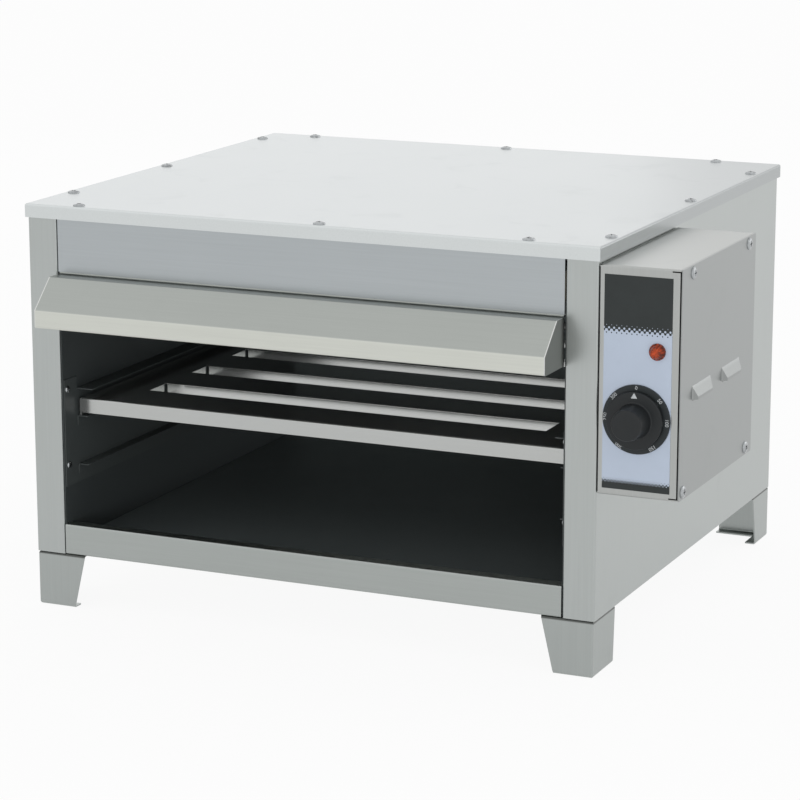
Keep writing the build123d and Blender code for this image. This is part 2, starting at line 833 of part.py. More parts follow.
# Rack: a tray folded down on all sides, with slots whose edges are folded down too
rack_left = runner_face + rack_side_gap
rack_width = 2 * (mid_x - rack_left)
rack_depth = space_back - rack_rear_gap - runner_front
slot_pitch = slot_width + slat_width
slot_room = rack_depth - slot_front_margin - slot_rear_margin
slot_count = int((slot_room + slat_width) // slot_pitch)
slot_length = rack_width - 2 * slot_side_margin
slot_places = [
    (mid_x, runner_front + slot_front_margin + slot_width / 2 + n * slot_pitch) for n in range(slot_count)
]
with BuildPart() as rack:
    with BuildSketch(Plane.XY.offset(rack_top - rack_skirt)):
        with Locations((rack_left, runner_front)):
            Rectangle(rack_width, rack_depth, align=low_corner)
    extrude(amount=rack_skirt)
    fillet(rack.faces().sort_by(Axis.Z)[-1].edges(), radius=bend)
    offset(amount=-sheet, openings=rack.faces().sort_by(Axis.Z)[0])
    with BuildSketch(Plane.XZ.offset(-runner_front + overrun)):
        with Locations((rack_left + bend, rack_top - rack_skirt)):
            Rectangle(rack_width - 2 * bend, rack_skirt - rack_apron, align=low_corner)
    extrude(amount=-(rack_depth + 2 * overrun), mode=Mode.SUBTRACT)
    with BuildSketch(Plane.XY.offset(rack_top)):
        with Locations(*slot_places):
            Rectangle(slot_length, slot_width)
    extrude(amount=-sheet, mode=Mode.SUBTRACT)
    with BuildSketch(Plane.XY.offset(rack_top)):
        with Locations(*slot_places):
            Rectangle(slot_length - 2 * slot_relief, slot_width + 2 * sheet)
            Rectangle(slot_length + 2 * sheet, slot_width - 2 * slot_relief)
            Rectangle(slot_length, slot_width, mode=Mode.SUBTRACT)
    extrude(amount=-slot_flange)
    slot_rims = rack.faces().filter_by(Axis.Z).sort_by(Axis.Z)[-1].inner_wires().edges()
    fillet(slot_rims, radius=slot_bend)
save(rack.part, "rack")

# Heating elements: hairpin tubes whose ends pass through the right-hand wall
sheath_x = post_right + sheath_end
hairpin_radius = element_spacing / 2
hairpin_x = space_left + element_end_gap + element_radius + hairpin_radius
for name, centre in zip(("front", "middle", "rear"), element_centres):
    with BuildPart() as heating_element:
        with BuildLine(Plane.XY.offset(element_level)) as hairpin:
            leg_line = Line((sheath_x, centre - hairpin_radius), (hairpin_x, centre - hairpin_radius))
            turn = JernArc(leg_line @ 1, leg_line % 1, radius=hairpin_radius, arc_size=-180)
            Line(turn @ 1, (sheath_x, centre + hairpin_radius))
        with BuildSketch(Plane(origin=hairpin.line @ 0, z_dir=hairpin.line % 0)):
            Circle(element_radius)
        sweep()
    save(heating_element.part, f"heating_element_{name}")

# Hangers under the reflector, pierced for the tubes
with BuildPart() as heater_hangers:
    for share in hanger_shares:
        hanger_x = space_left + share * space_width
        extrude(
            fold(
                Plane.XZ.offset(-(leg_places[0] - hanger_margin)),
                [
                    (hanger_x + hanger_flange, ceiling),
                    (hanger_x, ceiling),
                    (hanger_x, element_level - hanger_drop),
                ],
                Side.LEFT,
                hanger_sheet,
                bend + hanger_sheet - sheet,
            ),
            amount=-(leg_places[-1] - leg_places[0] + 2 * hanger_margin),
        )
    with BuildSketch(Plane.YZ.offset(space_left)):
        with Locations(*[(y, element_level) for y in leg_places]):
            Circle(element_radius + hole_gap)
    extrude(amount=space_width, mode=Mode.SUBTRACT)
save(heater_hangers.part, "heater_hangers")


# Bushings through the liner, nuts behind it, ceramic beads and terminal pins
with BuildPart() as heater_bushings:
    with Locations(*seats([(space_right, y, element_level) for y in leg_places], left)):
        Cylinder(bushing_flange_radius, bushing_flange, align=from_seat)
        Cylinder(bushing_radius, liner_sheet + bushing_nut, align=below_seat)
    with BuildSketch(Plane.YZ.offset(space_right - bushing_flange)):
        with Locations(*[(y, element_level) for y in leg_places]):
            Circle(element_radius + shaft_gap)
    extrude(amount=sheath_end + bushing_flange, mode=Mode.SUBTRACT)
save(heater_bushings.part, "heater_bushings")


def collars(x, points, inner, outer, depth):
    """Round collars that start at x and reach towards +X, one at each (y, z) point."""
    with BuildPart() as group:
        with BuildSketch(Plane.YZ.offset(x)):
            with Locations(*points):
                Circle(outer)
                Circle(inner, mode=Mode.SUBTRACT)
        extrude(amount=depth)
    return group.part


leg_ends = [(y, element_level) for y in leg_places]
nut_bore = bushing_radius + shaft_gap
bead_bore = pin_radius + shaft_gap
save(collars(post_right, leg_ends, nut_bore, bushing_flange_radius, bushing_nut), "heater_nuts")
save(collars(sheath_x, leg_ends, bead_bore, bead_radius, bead_length), "heater_beads")
with BuildPart() as heater_pins:
    with BuildSketch(Plane.YZ.offset(sheath_x)):
        with Locations(*leg_ends):
            Circle(pin_radius)
    extrude(amount=pin_length)
save(heater_pins.part, "heater_pins")

# Control box: a folded housing with open sides, a flange round each opening and holes in its panel
box_mid_y = (box_front + box_back) / 2
box_mid_z = (box_bottom + box_top) / 2
seam_ends = (box_bottom + panel_seam_margin, box_top - panel_seam_margin)
with BuildPart() as control_box:
    with BuildSketch(Plane.YZ.offset(box_left)):
        with Locations((box_mid_y, box_mid_z)):
            RectangleRounded(box_depth, box_height, bend)
    extrude(amount=box_right - box_left)
    ends = control_box.faces().sort_by(Axis.X)
    fillet(ends[0].edges() + ends[-1].edges(), radius=bend)
    offset(amount=-sheet, mode=Mode.SUBTRACT)
    with BuildSketch(Plane.YZ.offset(box_left)):
        with Locations((box_mid_y, box_mid_z)):
            RectangleRounded(box_depth - 2 * box_flange, box_height - 2 * box_flange, bend)
    extrude(amount=box_width, mode=Mode.SUBTRACT)
    with BuildSketch(Plane.XZ.offset(-box_front)):
        for edge, side in ((box_left, left_mid), (box_right, right_mid)):
            with Locations((edge, box_mid_z)):
                Rectangle(panel_seam, box_height - 2 * panel_seam_margin, align=side)
        with Locations(*[(box_right, z) for z in seam_ends]):
            Rectangle(panel_notch, panel_notch_height, align=right_mid)
    extrude(amount=-panel_seam_depth, mode=Mode.SUBTRACT)
    with Locations(*seats(box_screw_points, right)):
        Hole(hole_radius, depth=2 * sheet)
    with Locations(*seats(cover_screw_points, right)):
        Hole(hole_radius, depth=3 * sheet)
    with Locations(*seats([(dial_x, box_front, dial_z)], front)):
        Hole(neck_radius + hole_gap, depth=2 * sheet)
    with Locations(*seats([(lamp_x, box_front, lamp_z)], front)):
        Hole(lamp_barrel_radius + hole_gap, depth=2 * sheet)
    with Locations(*seats([(dial_x, box_back, gland_z)], back)):
        Hole(gland_radius + hole_gap, depth=2 * sheet)
save(control_box.part, "control_box")
save(screws(box_screw_points, right, small_head_radius, small_shank_length), "control_box_screws")

# Cover with two pressed louvres, each a hood open at its lower edge
louvre_start = box_front + louvre_setback + louvre_length / 2
louvre_places = [louvre_start + n * louvre_pitch for n in range(louvre_count)]
louvre_foot = box_bottom + louvre_level
hood_steps = (
    (0, box_right + sheet, box_right + sheet + louvre_bulge, Mode.ADD),
    (sheet, box_right, box_right + louvre_bulge, Mode.SUBTRACT),
)
with BuildPart() as control_box_cover:
    with BuildSketch(Plane.YZ.offset(box_right)):
        with Locations((box_mid_y, box_mid_z)):
            RectangleRounded(box_depth, box_height, bend)
    extrude(amount=sheet)
    for place in louvre_places:
        for wall, foot_x, crown_x, mode in hood_steps:
            with BuildSketch(Plane.YZ.offset(foot_x)):
                with Locations((place, louvre_foot - wall)):
                    Rectangle(louvre_length - 2 * wall, louvre_height, align=mid_low)
            with BuildSketch(Plane.YZ.offset(crown_x)):
                with Locations((place, louvre_foot - wall)):
                    Rectangle(louvre_length - 2 * (louvre_draft + wall), louvre_mouth, align=mid_low)
            loft(mode=mode)
    ridges = control_box_cover.faces().sort_by(Axis.X)[-louvre_count:].edges()
    fillet(ridges.filter_by_position(Axis.Z, louvre_foot + sheet, box_top), radius=louvre_round)
    with Locations(*seats(cover_screw_points, right)):
        Hole(hole_radius, depth=2 * sheet)
save(control_box_cover.part, "control_box_cover")
save(screws(cover_screw_points, right, head_radius, shank_length), "cover_screws")

# Grommet in the wiring hole
grommet_lip_radius = cable_hole_radius + grommet_lip
with BuildPart() as grommet:
    with Locations(*seats([cable_hole], right)):
        Cylinder(cable_hole_radius - shaft_gap, sheet, align=below_seat)
        Cylinder(grommet_lip_radius, grommet_lip, align=from_seat)
    with Locations(*seats([(body_right - sheet, cable_hole[1], cable_hole[2])], left)):
        Cylinder(grommet_lip_radius, grommet_lip, align=from_seat)
    with BuildSketch(Plane.YZ.offset(body_right - sheet - grommet_lip)):
        with Locations((cable_hole[1], cable_hole[2])):
            Circle(grommet_bore)
    extrude(amount=sheet + 2 * grommet_lip, mode=Mode.SUBTRACT)
save(grommet.part, "grommet")

# Label plate, dial ring and pilot lamp on the panel
with BuildPart() as label_plate:
    with BuildSketch(Plane.XZ.offset(-box_front)):
        with Locations((body_right + label_side, box_bottom + label_foot)):
            Rectangle(
                box_width - label_side - label_edge,
                box_height - label_drop - label_foot,
                align=low_corner,
            )
        with Locations((dial_x, dial_z)):
            Circle(neck_radius + hole_gap, mode=Mode.SUBTRACT)
        with Locations((lamp_x, lamp_z)):
            Circle(lamp_barrel_radius + hole_gap, mode=Mode.SUBTRACT)
    extrude(amount=label_sheet)
save(label_plate.part, "label_plate")

with BuildPart() as dial_ring:
    with BuildSketch(Plane.XZ.offset(-panel_face)):
        with Locations((dial_x, dial_z)):
            Circle(dial_radius)
            Circle(neck_radius + hole_gap, mode=Mode.SUBTRACT)
    extrude(amount=dial_sheet)
    fillet(dial_ring.edges().sort_by(Axis.Y)[:2].sort_by(SortBy.LENGTH)[-1], radius=dial_rim)
save(dial_ring.part, "dial_ring")

with BuildPart() as pilot_lamp_lens:
    with BuildSketch(Plane.XZ.offset(-panel_face)):
        with Locations((lamp_x, lamp_z)):
            Circle(lamp_radius)
    extrude(amount=lamp_rim)
    for rise, radius in ((lamp_rim, lamp_radius - lamp_ledge), (lamp_rise, lamp_crown_radius)):
        with BuildSketch(Plane.XZ.offset(-panel_face + rise)):
            with Locations((lamp_x, lamp_z)):
                RegularPolygon(radius, lamp_facets)
    loft()
save(pilot_lamp_lens.part, "pilot_lamp_lens")

with BuildPart() as pilot_lamp_body:
    with BuildSketch(Plane.XZ.offset(-panel_face)):
        with Locations((lamp_x, lamp_z)):
            Circle(lamp_barrel_radius)
    extrude(amount=-lamp_barrel_length)
save(pilot_lamp_body.part, "pilot_lamp_body")

panel_back_face = box_front + sheet
with BuildPart() as pilot_lamp_nut:
    with BuildSketch(Plane.XZ.offset(-panel_back_face)):
        with Locations((lamp_x, lamp_z)):
            RegularPolygon(lamp_nut_radius, 6)
            Circle(lamp_barrel_radius + shaft_gap, mode=Mode.SUBTRACT)
    extrude(amount=-lamp_nut_depth)
save(pilot_lamp_nut.part, "pilot_lamp_nut")

# Thermostat with a threaded neck, its nut, and the spindle that turns in it
thermostat_back = panel_back_face + thermostat_depth
neck_end = panel_back_face - neck_length
spindle_end = panel_back_face + spindle_tail
with BuildPart() as thermostat:
    with BuildSketch(Plane.XZ.offset(-panel_back_face)):
        with Locations((dial_x, dial_z)):
            RectangleRounded(thermostat_size, thermostat_size, thermostat_corner)
    extrude(amount=-thermostat_depth)
    with BuildSketch(Plane.XZ.offset(-panel_back_face)):
        with Locations((dial_x, dial_z)):
            Circle(neck_radius)
    extrude(amount=neck_length)
    with Locations(*seats([(dial_x, neck_end, dial_z)], front)):
        Hole(spindle_radius + shaft_gap, depth=neck_length + spindle_tail + slide_gap)
save(thermostat.part, "thermostat")

with BuildPart() as thermostat_nut:
    with BuildSketch(Plane.XZ.offset(-dial_face)):
        with Locations((dial_x, dial_z)):
            RegularPolygon(nut_radius, 6)
            Circle(neck_radius + shaft_gap, mode=Mode.SUBTRACT)
    extrude(amount=nut_depth)
save(thermostat_nut.part, "thermostat_nut")

knob_back = dial_face - slide_gap
skirt_face = knob_back - skirt_depth
knob_hollow = neck_end - nut_room
spindle_tip = knob_hollow - spindle_grip
with BuildPart() as spindle:
    with BuildSketch(Plane.XZ.offset(-spindle_end)):
        with Locations((dial_x, dial_z)):
            Circle(spindle_radius)
    extrude(amount=spindle_end - spindle_tip)
save(spindle.part, "spindle")

# Knob: skirt with a sunk pointer, tapered grip, hollow over the nut and a bore for the spindle
with BuildPart() as knob:
    add(
        turned(
            dial_x,
            dial_z,
            [
                (0, knob_back),
                (skirt_radius, knob_back),
                (skirt_radius, skirt_face),
                (grip_base_radius, skirt_face),
                (grip_radius, skirt_face - grip_depth),
                (0, skirt_face - grip_depth),
            ],
        )
    )
    grip_face = knob.faces().sort_by(Axis.Y)[0]
    fillet(grip_face.edges(), radius=grip_rim)
    rings = knob.edges().filter_by(GeomType.CIRCLE).sort_by(SortBy.RADIUS)
    fillet(rings[-3], radius=grip_cove)
    skirt_edges = knob.edges().filter_by(GeomType.CIRCLE).sort_by(SortBy.RADIUS)[-2:]
    fillet(skirt_edges.sort_by(Axis.Y)[0], radius=skirt_rim)
    with Locations(*seats([(dial_x, knob_back, dial_z)], back)):
        Hole(nut_radius + nut_room, depth=knob_back - knob_hollow)
        Hole(spindle_radius + shaft_gap, depth=knob_back - spindle_tip + slide_gap)
    with BuildSketch(Plane.XZ.offset(-skirt_face)):
        with BuildLine():
            pointer_tip = dial_z + skirt_radius - pointer_inset
            Polyline(
                (dial_x, pointer_tip),
                (dial_x - pointer_width / 2, pointer_tip - pointer_length),
                (dial_x + pointer_width / 2, pointer_tip - pointer_length),
                close=True,
            )
        make_face()
    extrude(amount=-pointer_depth, mode=Mode.SUBTRACT)
save(knob.part, "knob")

# Capillary from the thermostat into the cooking space, with its bulb in two clips
bulb_x = space_right - bulb_clearance - bulb_radius
bulb_front = cable_hole[1] + 2 * capillary_bend
rise_x = body_right + 2 * capillary_bend
with BuildPart() as capillary:
    add(
        tube(
            [
                (dial_x, thermostat_back + wire_gap, dial_z - port_offset),
                (dial_x, cable_hole[1], dial_z - port_offset),
                (rise_x, cable_hole[1], dial_z - port_offset),
                (rise_x, cable_hole[1], bulb_z),
                (bulb_x, cable_hole[1], bulb_z),
                (bulb_x, bulb_front, bulb_z),
            ],
            capillary_radius,
            capillary_bend,
        )
    )
    with BuildSketch(Plane.XZ.offset(-bulb_front)):
        with Locations((bulb_x, bulb_z)):
            Circle(bulb_radius)
    extrude(amount=-bulb_length)
save(capillary.part, "capillary")

with BuildPart() as bulb_clips:
    for share in clip_shares:
        with BuildSketch(Plane.XZ.offset(-(bulb_front + share * bulb_length - clip_width / 2))):
            with Locations((bulb_x, bulb_z)):
                Circle(bulb_radius + shaft_gap + clip_sheet)
                Rectangle(space_right - bulb_x, 2 * clip_sheet, align=(Align.MIN, Align.CENTER))
                Circle(bulb_radius + shaft_gap, mode=Mode.SUBTRACT)
        extrude(amount=-clip_width)
save(bulb_clips.part, "bulb_clips")

# Terminal block with a shoulder along each side
block_floor = box_bottom + sheet
block_top = block_floor + block_height
block_front = box_front + block_setback
block_mid = block_front + block_width / 2
block_bores = [(dial_x + (share - 0.5) * block_length, block_mid) for share in block_bore_shares]
with BuildPart() as terminal_block:
    with BuildSketch(Plane.YZ.offset(dial_x - block_length / 2)):
        with Locations((block_mid, block_floor)):
            Rectangle(block_width, block_height / 2, align=mid_low)
            Rectangle(block_width - 2 * block_step, block_height, align=mid_low)
    extrude(amount=block_length)
    with BuildSketch(Plane.XY.offset(block_top)):
        with Locations(*block_bores):
            Circle(block_bore_radius)
    extrude(amount=-block_height / 2, mode=Mode.SUBTRACT)
save(terminal_block.part, "terminal_block")

# Wires: the elements in series, the feed through the grommet, and the runs inside the box
pin_x = sheath_x + pin_length + wire_radius + wire_gap
feed_y = cable_hole[1] - wire_room / 2
return_y = cable_hole[1] + wire_room
return_z = cable_hole[2] - wire_room
block_end = block_top + wire_gap
with BuildPart() as wiring:
    for near, far in ((1, 2), (3, 4)):
        with BuildSketch(Plane.XZ.offset(-leg_places[near])):
            with Locations((pin_x, element_level)):
                Circle(wire_radius)
        extrude(amount=-(leg_places[far] - leg_places[near]))
    add(
        tube(
            [
                (pin_x, leg_places[0], element_level),
                (pin_x, feed_y, element_level),
                (dial_x - port_offset, feed_y, element_level),
                (dial_x - port_offset, feed_y, dial_z + port_offset / 2),
                (dial_x - port_offset, thermostat_back + wire_gap, dial_z + port_offset / 2),
            ],
            wire_radius,
            wire_bend,
        )
    )
    add(
        tube(
            [
                (pin_x, leg_places[-1], element_level),
                (pin_x, leg_places[-1], return_z),
                (pin_x, return_y, return_z),
                (block_bores[0][0], return_y, return_z),
                (block_bores[0][0], block_mid, return_z),
                (block_bores[0][0], block_mid, block_end),
            ],
            wire_radius,
            wire_bend,
        )
    )
    add(
        tube(
            [
                (block_bores[1][0], thermostat_back + wire_gap, dial_z),
                (block_bores[1][0], block_mid, dial_z),
                (block_bores[1][0], block_mid, block_end),
            ],
            wire_radius,
            wire_bend,
        )
    )
    add(
        tube(
            [
                (block_bores[2][0], panel_face + lamp_barrel_length + wire_gap, lamp_z),
                (block_bores[2][0], block_mid, lamp_z),
                (block_bores[2][0], block_mid, block_end),
            ],
            wire_radius,
            wire_bend,
        )
    )
save(wiring.part, "wiring")

# Cable gland in the back of the box, with a locknut inside
gland_outer = box_back + gland_flange
with BuildPart() as cable_gland:
    add(
        turned(
            dial_x,
            gland_z,
            [
                (gland_bore_radius, box_back - sheet - gland_tail),
                (gland_radius, box_back - sheet - gland_tail),
                (gland_radius, gland_outer),
                (gland_radius + gland_shoulder, gland_outer),
                (gland_radius, gland_outer + gland_dome),
                (gland_bore_radius, gland_outer + gland_dome),
            ],
        )
    )
    for nut_start, nut_length, bore in (
        (box_back - sheet - gland_nut, gland_nut, gland_radius + shaft_gap),
        (box_back, gland_flange, gland_bore_radius),
    ):
        with BuildSketch(Plane.XZ.offset(-nut_start)):
            with Locations((dial_x, gland_z)):
                RegularPolygon(gland_hex_radius, 6)
                Circle(bore, mode=Mode.SUBTRACT)
        extrude(amount=-nut_length)
save(cable_gland.part, "cable_gland")
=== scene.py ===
"""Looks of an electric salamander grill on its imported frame.

Brushed stainless casing, black enamelled cooking space, slotted rack, printed control panel with its dial,
and the plain white studio that shows them. Lengths are in metres and the front faces -Y, as in the frame.
"""

import json
import logging
import math
from dataclasses import KW_ONLY, dataclass
from enum import Enum
from typing import Any, Mapping, Sequence, Union

import bmesh
import bpy
from mathutils import Matrix, Vector

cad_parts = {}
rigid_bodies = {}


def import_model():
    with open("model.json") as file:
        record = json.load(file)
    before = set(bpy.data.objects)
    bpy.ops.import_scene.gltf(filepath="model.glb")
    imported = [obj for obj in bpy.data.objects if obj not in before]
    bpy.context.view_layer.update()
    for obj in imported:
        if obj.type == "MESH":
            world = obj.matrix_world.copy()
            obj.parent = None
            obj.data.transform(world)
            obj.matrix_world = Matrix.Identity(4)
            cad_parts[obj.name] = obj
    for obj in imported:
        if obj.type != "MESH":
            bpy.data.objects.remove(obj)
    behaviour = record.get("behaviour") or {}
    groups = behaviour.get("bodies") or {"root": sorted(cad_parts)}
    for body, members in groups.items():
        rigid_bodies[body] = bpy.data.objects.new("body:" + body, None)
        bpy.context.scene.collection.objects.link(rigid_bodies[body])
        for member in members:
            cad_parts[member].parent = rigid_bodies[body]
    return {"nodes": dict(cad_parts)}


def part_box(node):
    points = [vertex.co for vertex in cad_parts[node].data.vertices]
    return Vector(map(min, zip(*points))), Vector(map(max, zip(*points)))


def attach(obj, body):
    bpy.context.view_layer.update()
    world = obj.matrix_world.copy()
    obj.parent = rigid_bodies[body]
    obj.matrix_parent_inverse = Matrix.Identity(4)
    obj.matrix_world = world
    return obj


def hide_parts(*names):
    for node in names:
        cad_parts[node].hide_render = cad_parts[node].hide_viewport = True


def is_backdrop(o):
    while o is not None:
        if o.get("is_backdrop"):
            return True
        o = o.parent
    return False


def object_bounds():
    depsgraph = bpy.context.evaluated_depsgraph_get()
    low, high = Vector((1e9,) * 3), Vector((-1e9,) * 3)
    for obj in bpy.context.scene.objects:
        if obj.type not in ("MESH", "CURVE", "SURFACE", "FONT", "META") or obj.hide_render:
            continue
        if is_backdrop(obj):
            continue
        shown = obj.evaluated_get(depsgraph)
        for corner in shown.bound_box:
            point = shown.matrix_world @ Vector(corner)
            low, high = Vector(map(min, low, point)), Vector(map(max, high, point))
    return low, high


LOG = logging.getLogger("grill")
MERGE_DISTANCE = 1e-6
SHARP_ANGLE = math.radians(40)
WHITE = (1.0, 1.0, 1.0, 1.0)
Colour = tuple[float, float, float]
Corner = tuple[float, float, float]
Key = Union[str, int]
Number = Union[float, "Signal"]


class Signal:
    """One output socket of a node tree, with arithmetic that adds Math nodes."""

    def __init__(self, board: "Board", socket: bpy.types.NodeSocket) -> None:
        """Wrap a socket of a board."""
        self.board = board
        self.socket = socket

    def math(self, operation: str, *operands: Number) -> "Signal":
        """Add a Math node.

        Args:
            operation: Blender's name of the operation.
            operands: Values or signals, in the order of the node's inputs.

        Returns:
            The node's result.
        """
        return self.board.read("ShaderNodeMath", {"operation": operation}, dict(enumerate(operands)))

    def __add__(self, other: Number) -> "Signal":
        """Sum."""
        return self.math("ADD", self, other)

    def __radd__(self, other: Number) -> "Signal":
        """Sum, with the signal on the right."""
        return self.math("ADD", other, self)

    def __sub__(self, other: Number) -> "Signal":
        """Difference."""
        return self.math("SUBTRACT", self, other)

    def __rsub__(self, other: Number) -> "Signal":
        """Difference, with the signal on the right."""
        return self.math("SUBTRACT", other, self)

    def __mul__(self, other: Number) -> "Signal":
        """Product."""
        return self.math("MULTIPLY", self, other)

    def __rmul__(self, other: Number) -> "Signal":
        """Product, with the signal on the right."""
        return self.math("MULTIPLY", other, self)

    def __truediv__(self, other: Number) -> "Signal":
        """Quotient."""
        return self.math("DIVIDE", self, other)

    def __pow__(self, other: Number) -> "Signal":
        """Power."""
        return self.math("POWER", self, other)

    def most(self, other: Number) -> "Signal":
        """The larger of the two."""
        return self.math("MAXIMUM", self, other)

    def wave(self, length: float) -> "Signal":
        """Cosine of the value, with one crest every length."""
        return self.math("COSINE", self * (2 * math.pi / length))

    def between(self, low: float, high: float) -> "Signal":
        """Smooth step from 0 at low to 1 at high."""
        settings = {"interpolation_type": "SMOOTHSTEP"}
        return self.board.read("ShaderNodeMapRange", settings, {0: self, 1: low, 2: high})


class Board:
    """A node tree that is filled by one method."""

    def __init__(self, tree: bpy.types.NodeTree) -> None:
        """Start from an empty tree."""
        self.tree = tree
        tree.nodes.clear()

    def add(
        self, kind: str, settings: Mapping[str, Any] | None = None, inputs: Mapping[Key, Any] | None = None
    ) -> bpy.types.Node:
        """Add a node, set it up and join it to others.

        Args:
            kind: Blender's type of the node.
            settings: Properties of the node, set first.
            inputs: Values, signals or lists of signals, by the name or place of their socket.

        Returns:
            The new node.
        """
        node = self.tree.nodes.new(kind)
        for name, value in (settings or {}).items():
            setattr(node, name, value)
        for key, value in (inputs or {}).items():
            if isinstance(value, Signal):
                self.tree.links.new(value.socket, node.inputs[key])
            elif isinstance(value, list) and isinstance(value[0], Signal):
                for signal in value:
                    self.tree.links.new(signal.socket, node.inputs[key])
            else:
                node.inputs[key].default_value = value
        return node

    def read(
        self,
        kind: str,
        settings: Mapping[str, Any] | None = None,
        inputs: Mapping[Key, Any] | None = None,
        output: Key = 0,
    ) -> Signal:
        """Add a node and take one of its outputs.

        Args:
            kind: Blender's type of the node.
            settings: Properties of the node.
            inputs: Values or signals of its sockets.
            output: Name or place of the output.

        Returns:
            The output as a signal.
        """
        return Signal(self, self.add(kind, settings, inputs).outputs[output])

    def rays(self, *kinds: str) -> Signal:
        """Tell light paths of some kinds from all others.

        Args:
            kinds: Blender's names of the kinds.

        Returns:
            1 for paths of these kinds, 0 for the rest.
        """
        paths = self.add("ShaderNodeLightPath").outputs
        first, *others = [Signal(self, paths[f"Is {kind} Ray"]) for kind in kinds]
        for other in others:
            first = first.most(other)
        return first


class Paint(Board):
    """The node tree of one material."""

    # Places of a Mix node's colours among its inputs, and of the mixed colour among its outputs.
    MIX_FIRST, MIX_SECOND, MIX_RESULT = 6, 7, 2

    def __init__(self, name: str) -> None:
        """Start a material that reads Object coordinates.

        Args:
            name: Name of the material.
        """
        self.material = bpy.data.materials.new(name)
        self.material.use_nodes = True
        super().__init__(self.material.node_tree)
        self.place = self.read("ShaderNodeTexCoord", output="Object")

    def axes(self) -> list[Signal]:
        """X, Y and Z of the place on the piece."""
        split = self.add("ShaderNodeSeparateXYZ", inputs={0: self.place})
        return [Signal(self, socket) for socket in split.outputs]

    def stretched(self, scale: Sequence[float]) -> Signal:
        """The place on the piece, scaled along each axis."""
        return self.read("ShaderNodeMapping", inputs={"Vector": self.place, "Scale": scale})

    def noise(self, scale: float, detail: float, place: Signal | None = None, warp: float = 0.0) -> Signal:
        """Soft noise.

        Args:
            scale: Cycles per metre, or per unit of the given place.
            detail: Octaves.
            place: Coordinates to use instead of the plain ones.
            warp: Distortion.

        Returns:
            Noise around 0.5.
        """
        sockets = {"Vector": place or self.place, "Scale": scale, "Detail": detail, "Distortion": warp}
        return self.read("ShaderNodeTexNoise", inputs=sockets)

    def mix(self, factor: Signal, first: Colour | Signal, second: Colour | Signal) -> Signal:
        """Blend two colours.

        Args:
            factor: 0 for the first, 1 for the second.
            first: Colour or signal.
            second: Colour or signal.

        Returns:
            The blended colour.
        """
        first, second = [c if isinstance(c, Signal) else (*c, 1.0) for c in (first, second)]
        sockets = {0: factor, self.MIX_FIRST: first, self.MIX_SECOND: second}
        return self.read("ShaderNodeMix", {"data_type": "RGBA"}, sockets, self.MIX_RESULT)

    def bump(self, height: Signal, depth: float, strength: float) -> Signal:
        """Normal of a surface whose relief is depth high."""
        return self.read("ShaderNodeBump", inputs={"Height": height, "Distance": depth, "Strength": strength})

    def surface(self, sockets: Mapping[str, Any]) -> bpy.types.Material:
        """Close the tree with a Principled shader.

        Args:
            sockets: Values and signals of the shader.

        Returns:
            The finished material.
        """
        shader = self.read("ShaderNodeBsdfPrincipled", inputs=sockets)
        self.add("ShaderNodeOutputMaterial", inputs={"Surface": shader})
        return self.material


def shaded(colour: Colour, share: float) -> Colour:
    """The colour, darker or lighter by a share."""
    return tuple(channel * share for channel in colour)


class Grain(Enum):
    """Direction of the brush marks on a sheet."""

    ACROSS = 0
    ALONG = 1
    UPRIGHT = 2


@dataclass(frozen=True)
class BrushedSteel:
    """Satin stainless sheet with brush marks, clouds, faint smudges and maybe a dull film from cooking."""

    tint: Colour = (0.456, 0.481, 0.472)
    contrast: float = 0.08
    roughness: float = 0.3
    film: float = 0.0
    relief: float = 0.25
    streak_length: float = 0.09
    streak_width: float = 0.0014
    _: KW_ONLY
    hairs_per_streak: float = 3.3
    cloud_scale: float = 6.0
    smudge_scale: float = 21.0
    groove_depth: float = 0.00002

    def make(self, name: str, grain: Grain) -> bpy.types.Material:
        """Build the material.

        Args:
            name: Name of the material.
            grain: Direction of the brush marks.

        Returns:
            The finished material.
        """
        paint = Paint(name)
        pitch = [1 / self.streak_width] * 3
        pitch[grain.value] = 1 / self.streak_length
        streaks = paint.noise(1.0, 4.0, paint.stretched(pitch))
        hairs = paint.noise(1.0, 2.0, paint.stretched([self.hairs_per_streak * share for share in pitch]))
        clouds = paint.noise(self.cloud_scale, 3.0, warp=0.4)
        smudges = paint.noise(self.smudge_scale, 5.0, warp=0.9).between(0.57, 0.78)
        shade = streaks * 0.7 + clouds * 0.4 - smudges * 0.06 - 0.05
        return paint.surface(
            {
                "Base Color": self.tone(paint, shade),
                "Metallic": 1.0 - (clouds * 0.6 + 0.7) * self.film if self.film else 1.0,
                "Roughness": streaks * 0.08 + clouds * 0.05 + smudges * 0.03 + (self.roughness - 0.06),
                "Normal": paint.bump(hairs * 0.6 + streaks * 0.4, self.groove_depth, self.relief),
            }
        )

    def tone(self, paint: Paint, shade: Signal) -> Signal:
        """Colour of the sheet.

        Args:
            paint: Material that is being built.
            shade: Brush marks and clouds, about 0 to 1.

        Returns:
            The colour.
        """
        return self.brushed(paint, shade, self.tint)

    def brushed(self, paint: Paint, shade: Signal, tint: Colour) -> Signal:
        """One tint with the sheet's brush marks."""
        return paint.mix(shade, shaded(tint, 1 - self.contrast), shaded(tint, 1 + self.contrast))


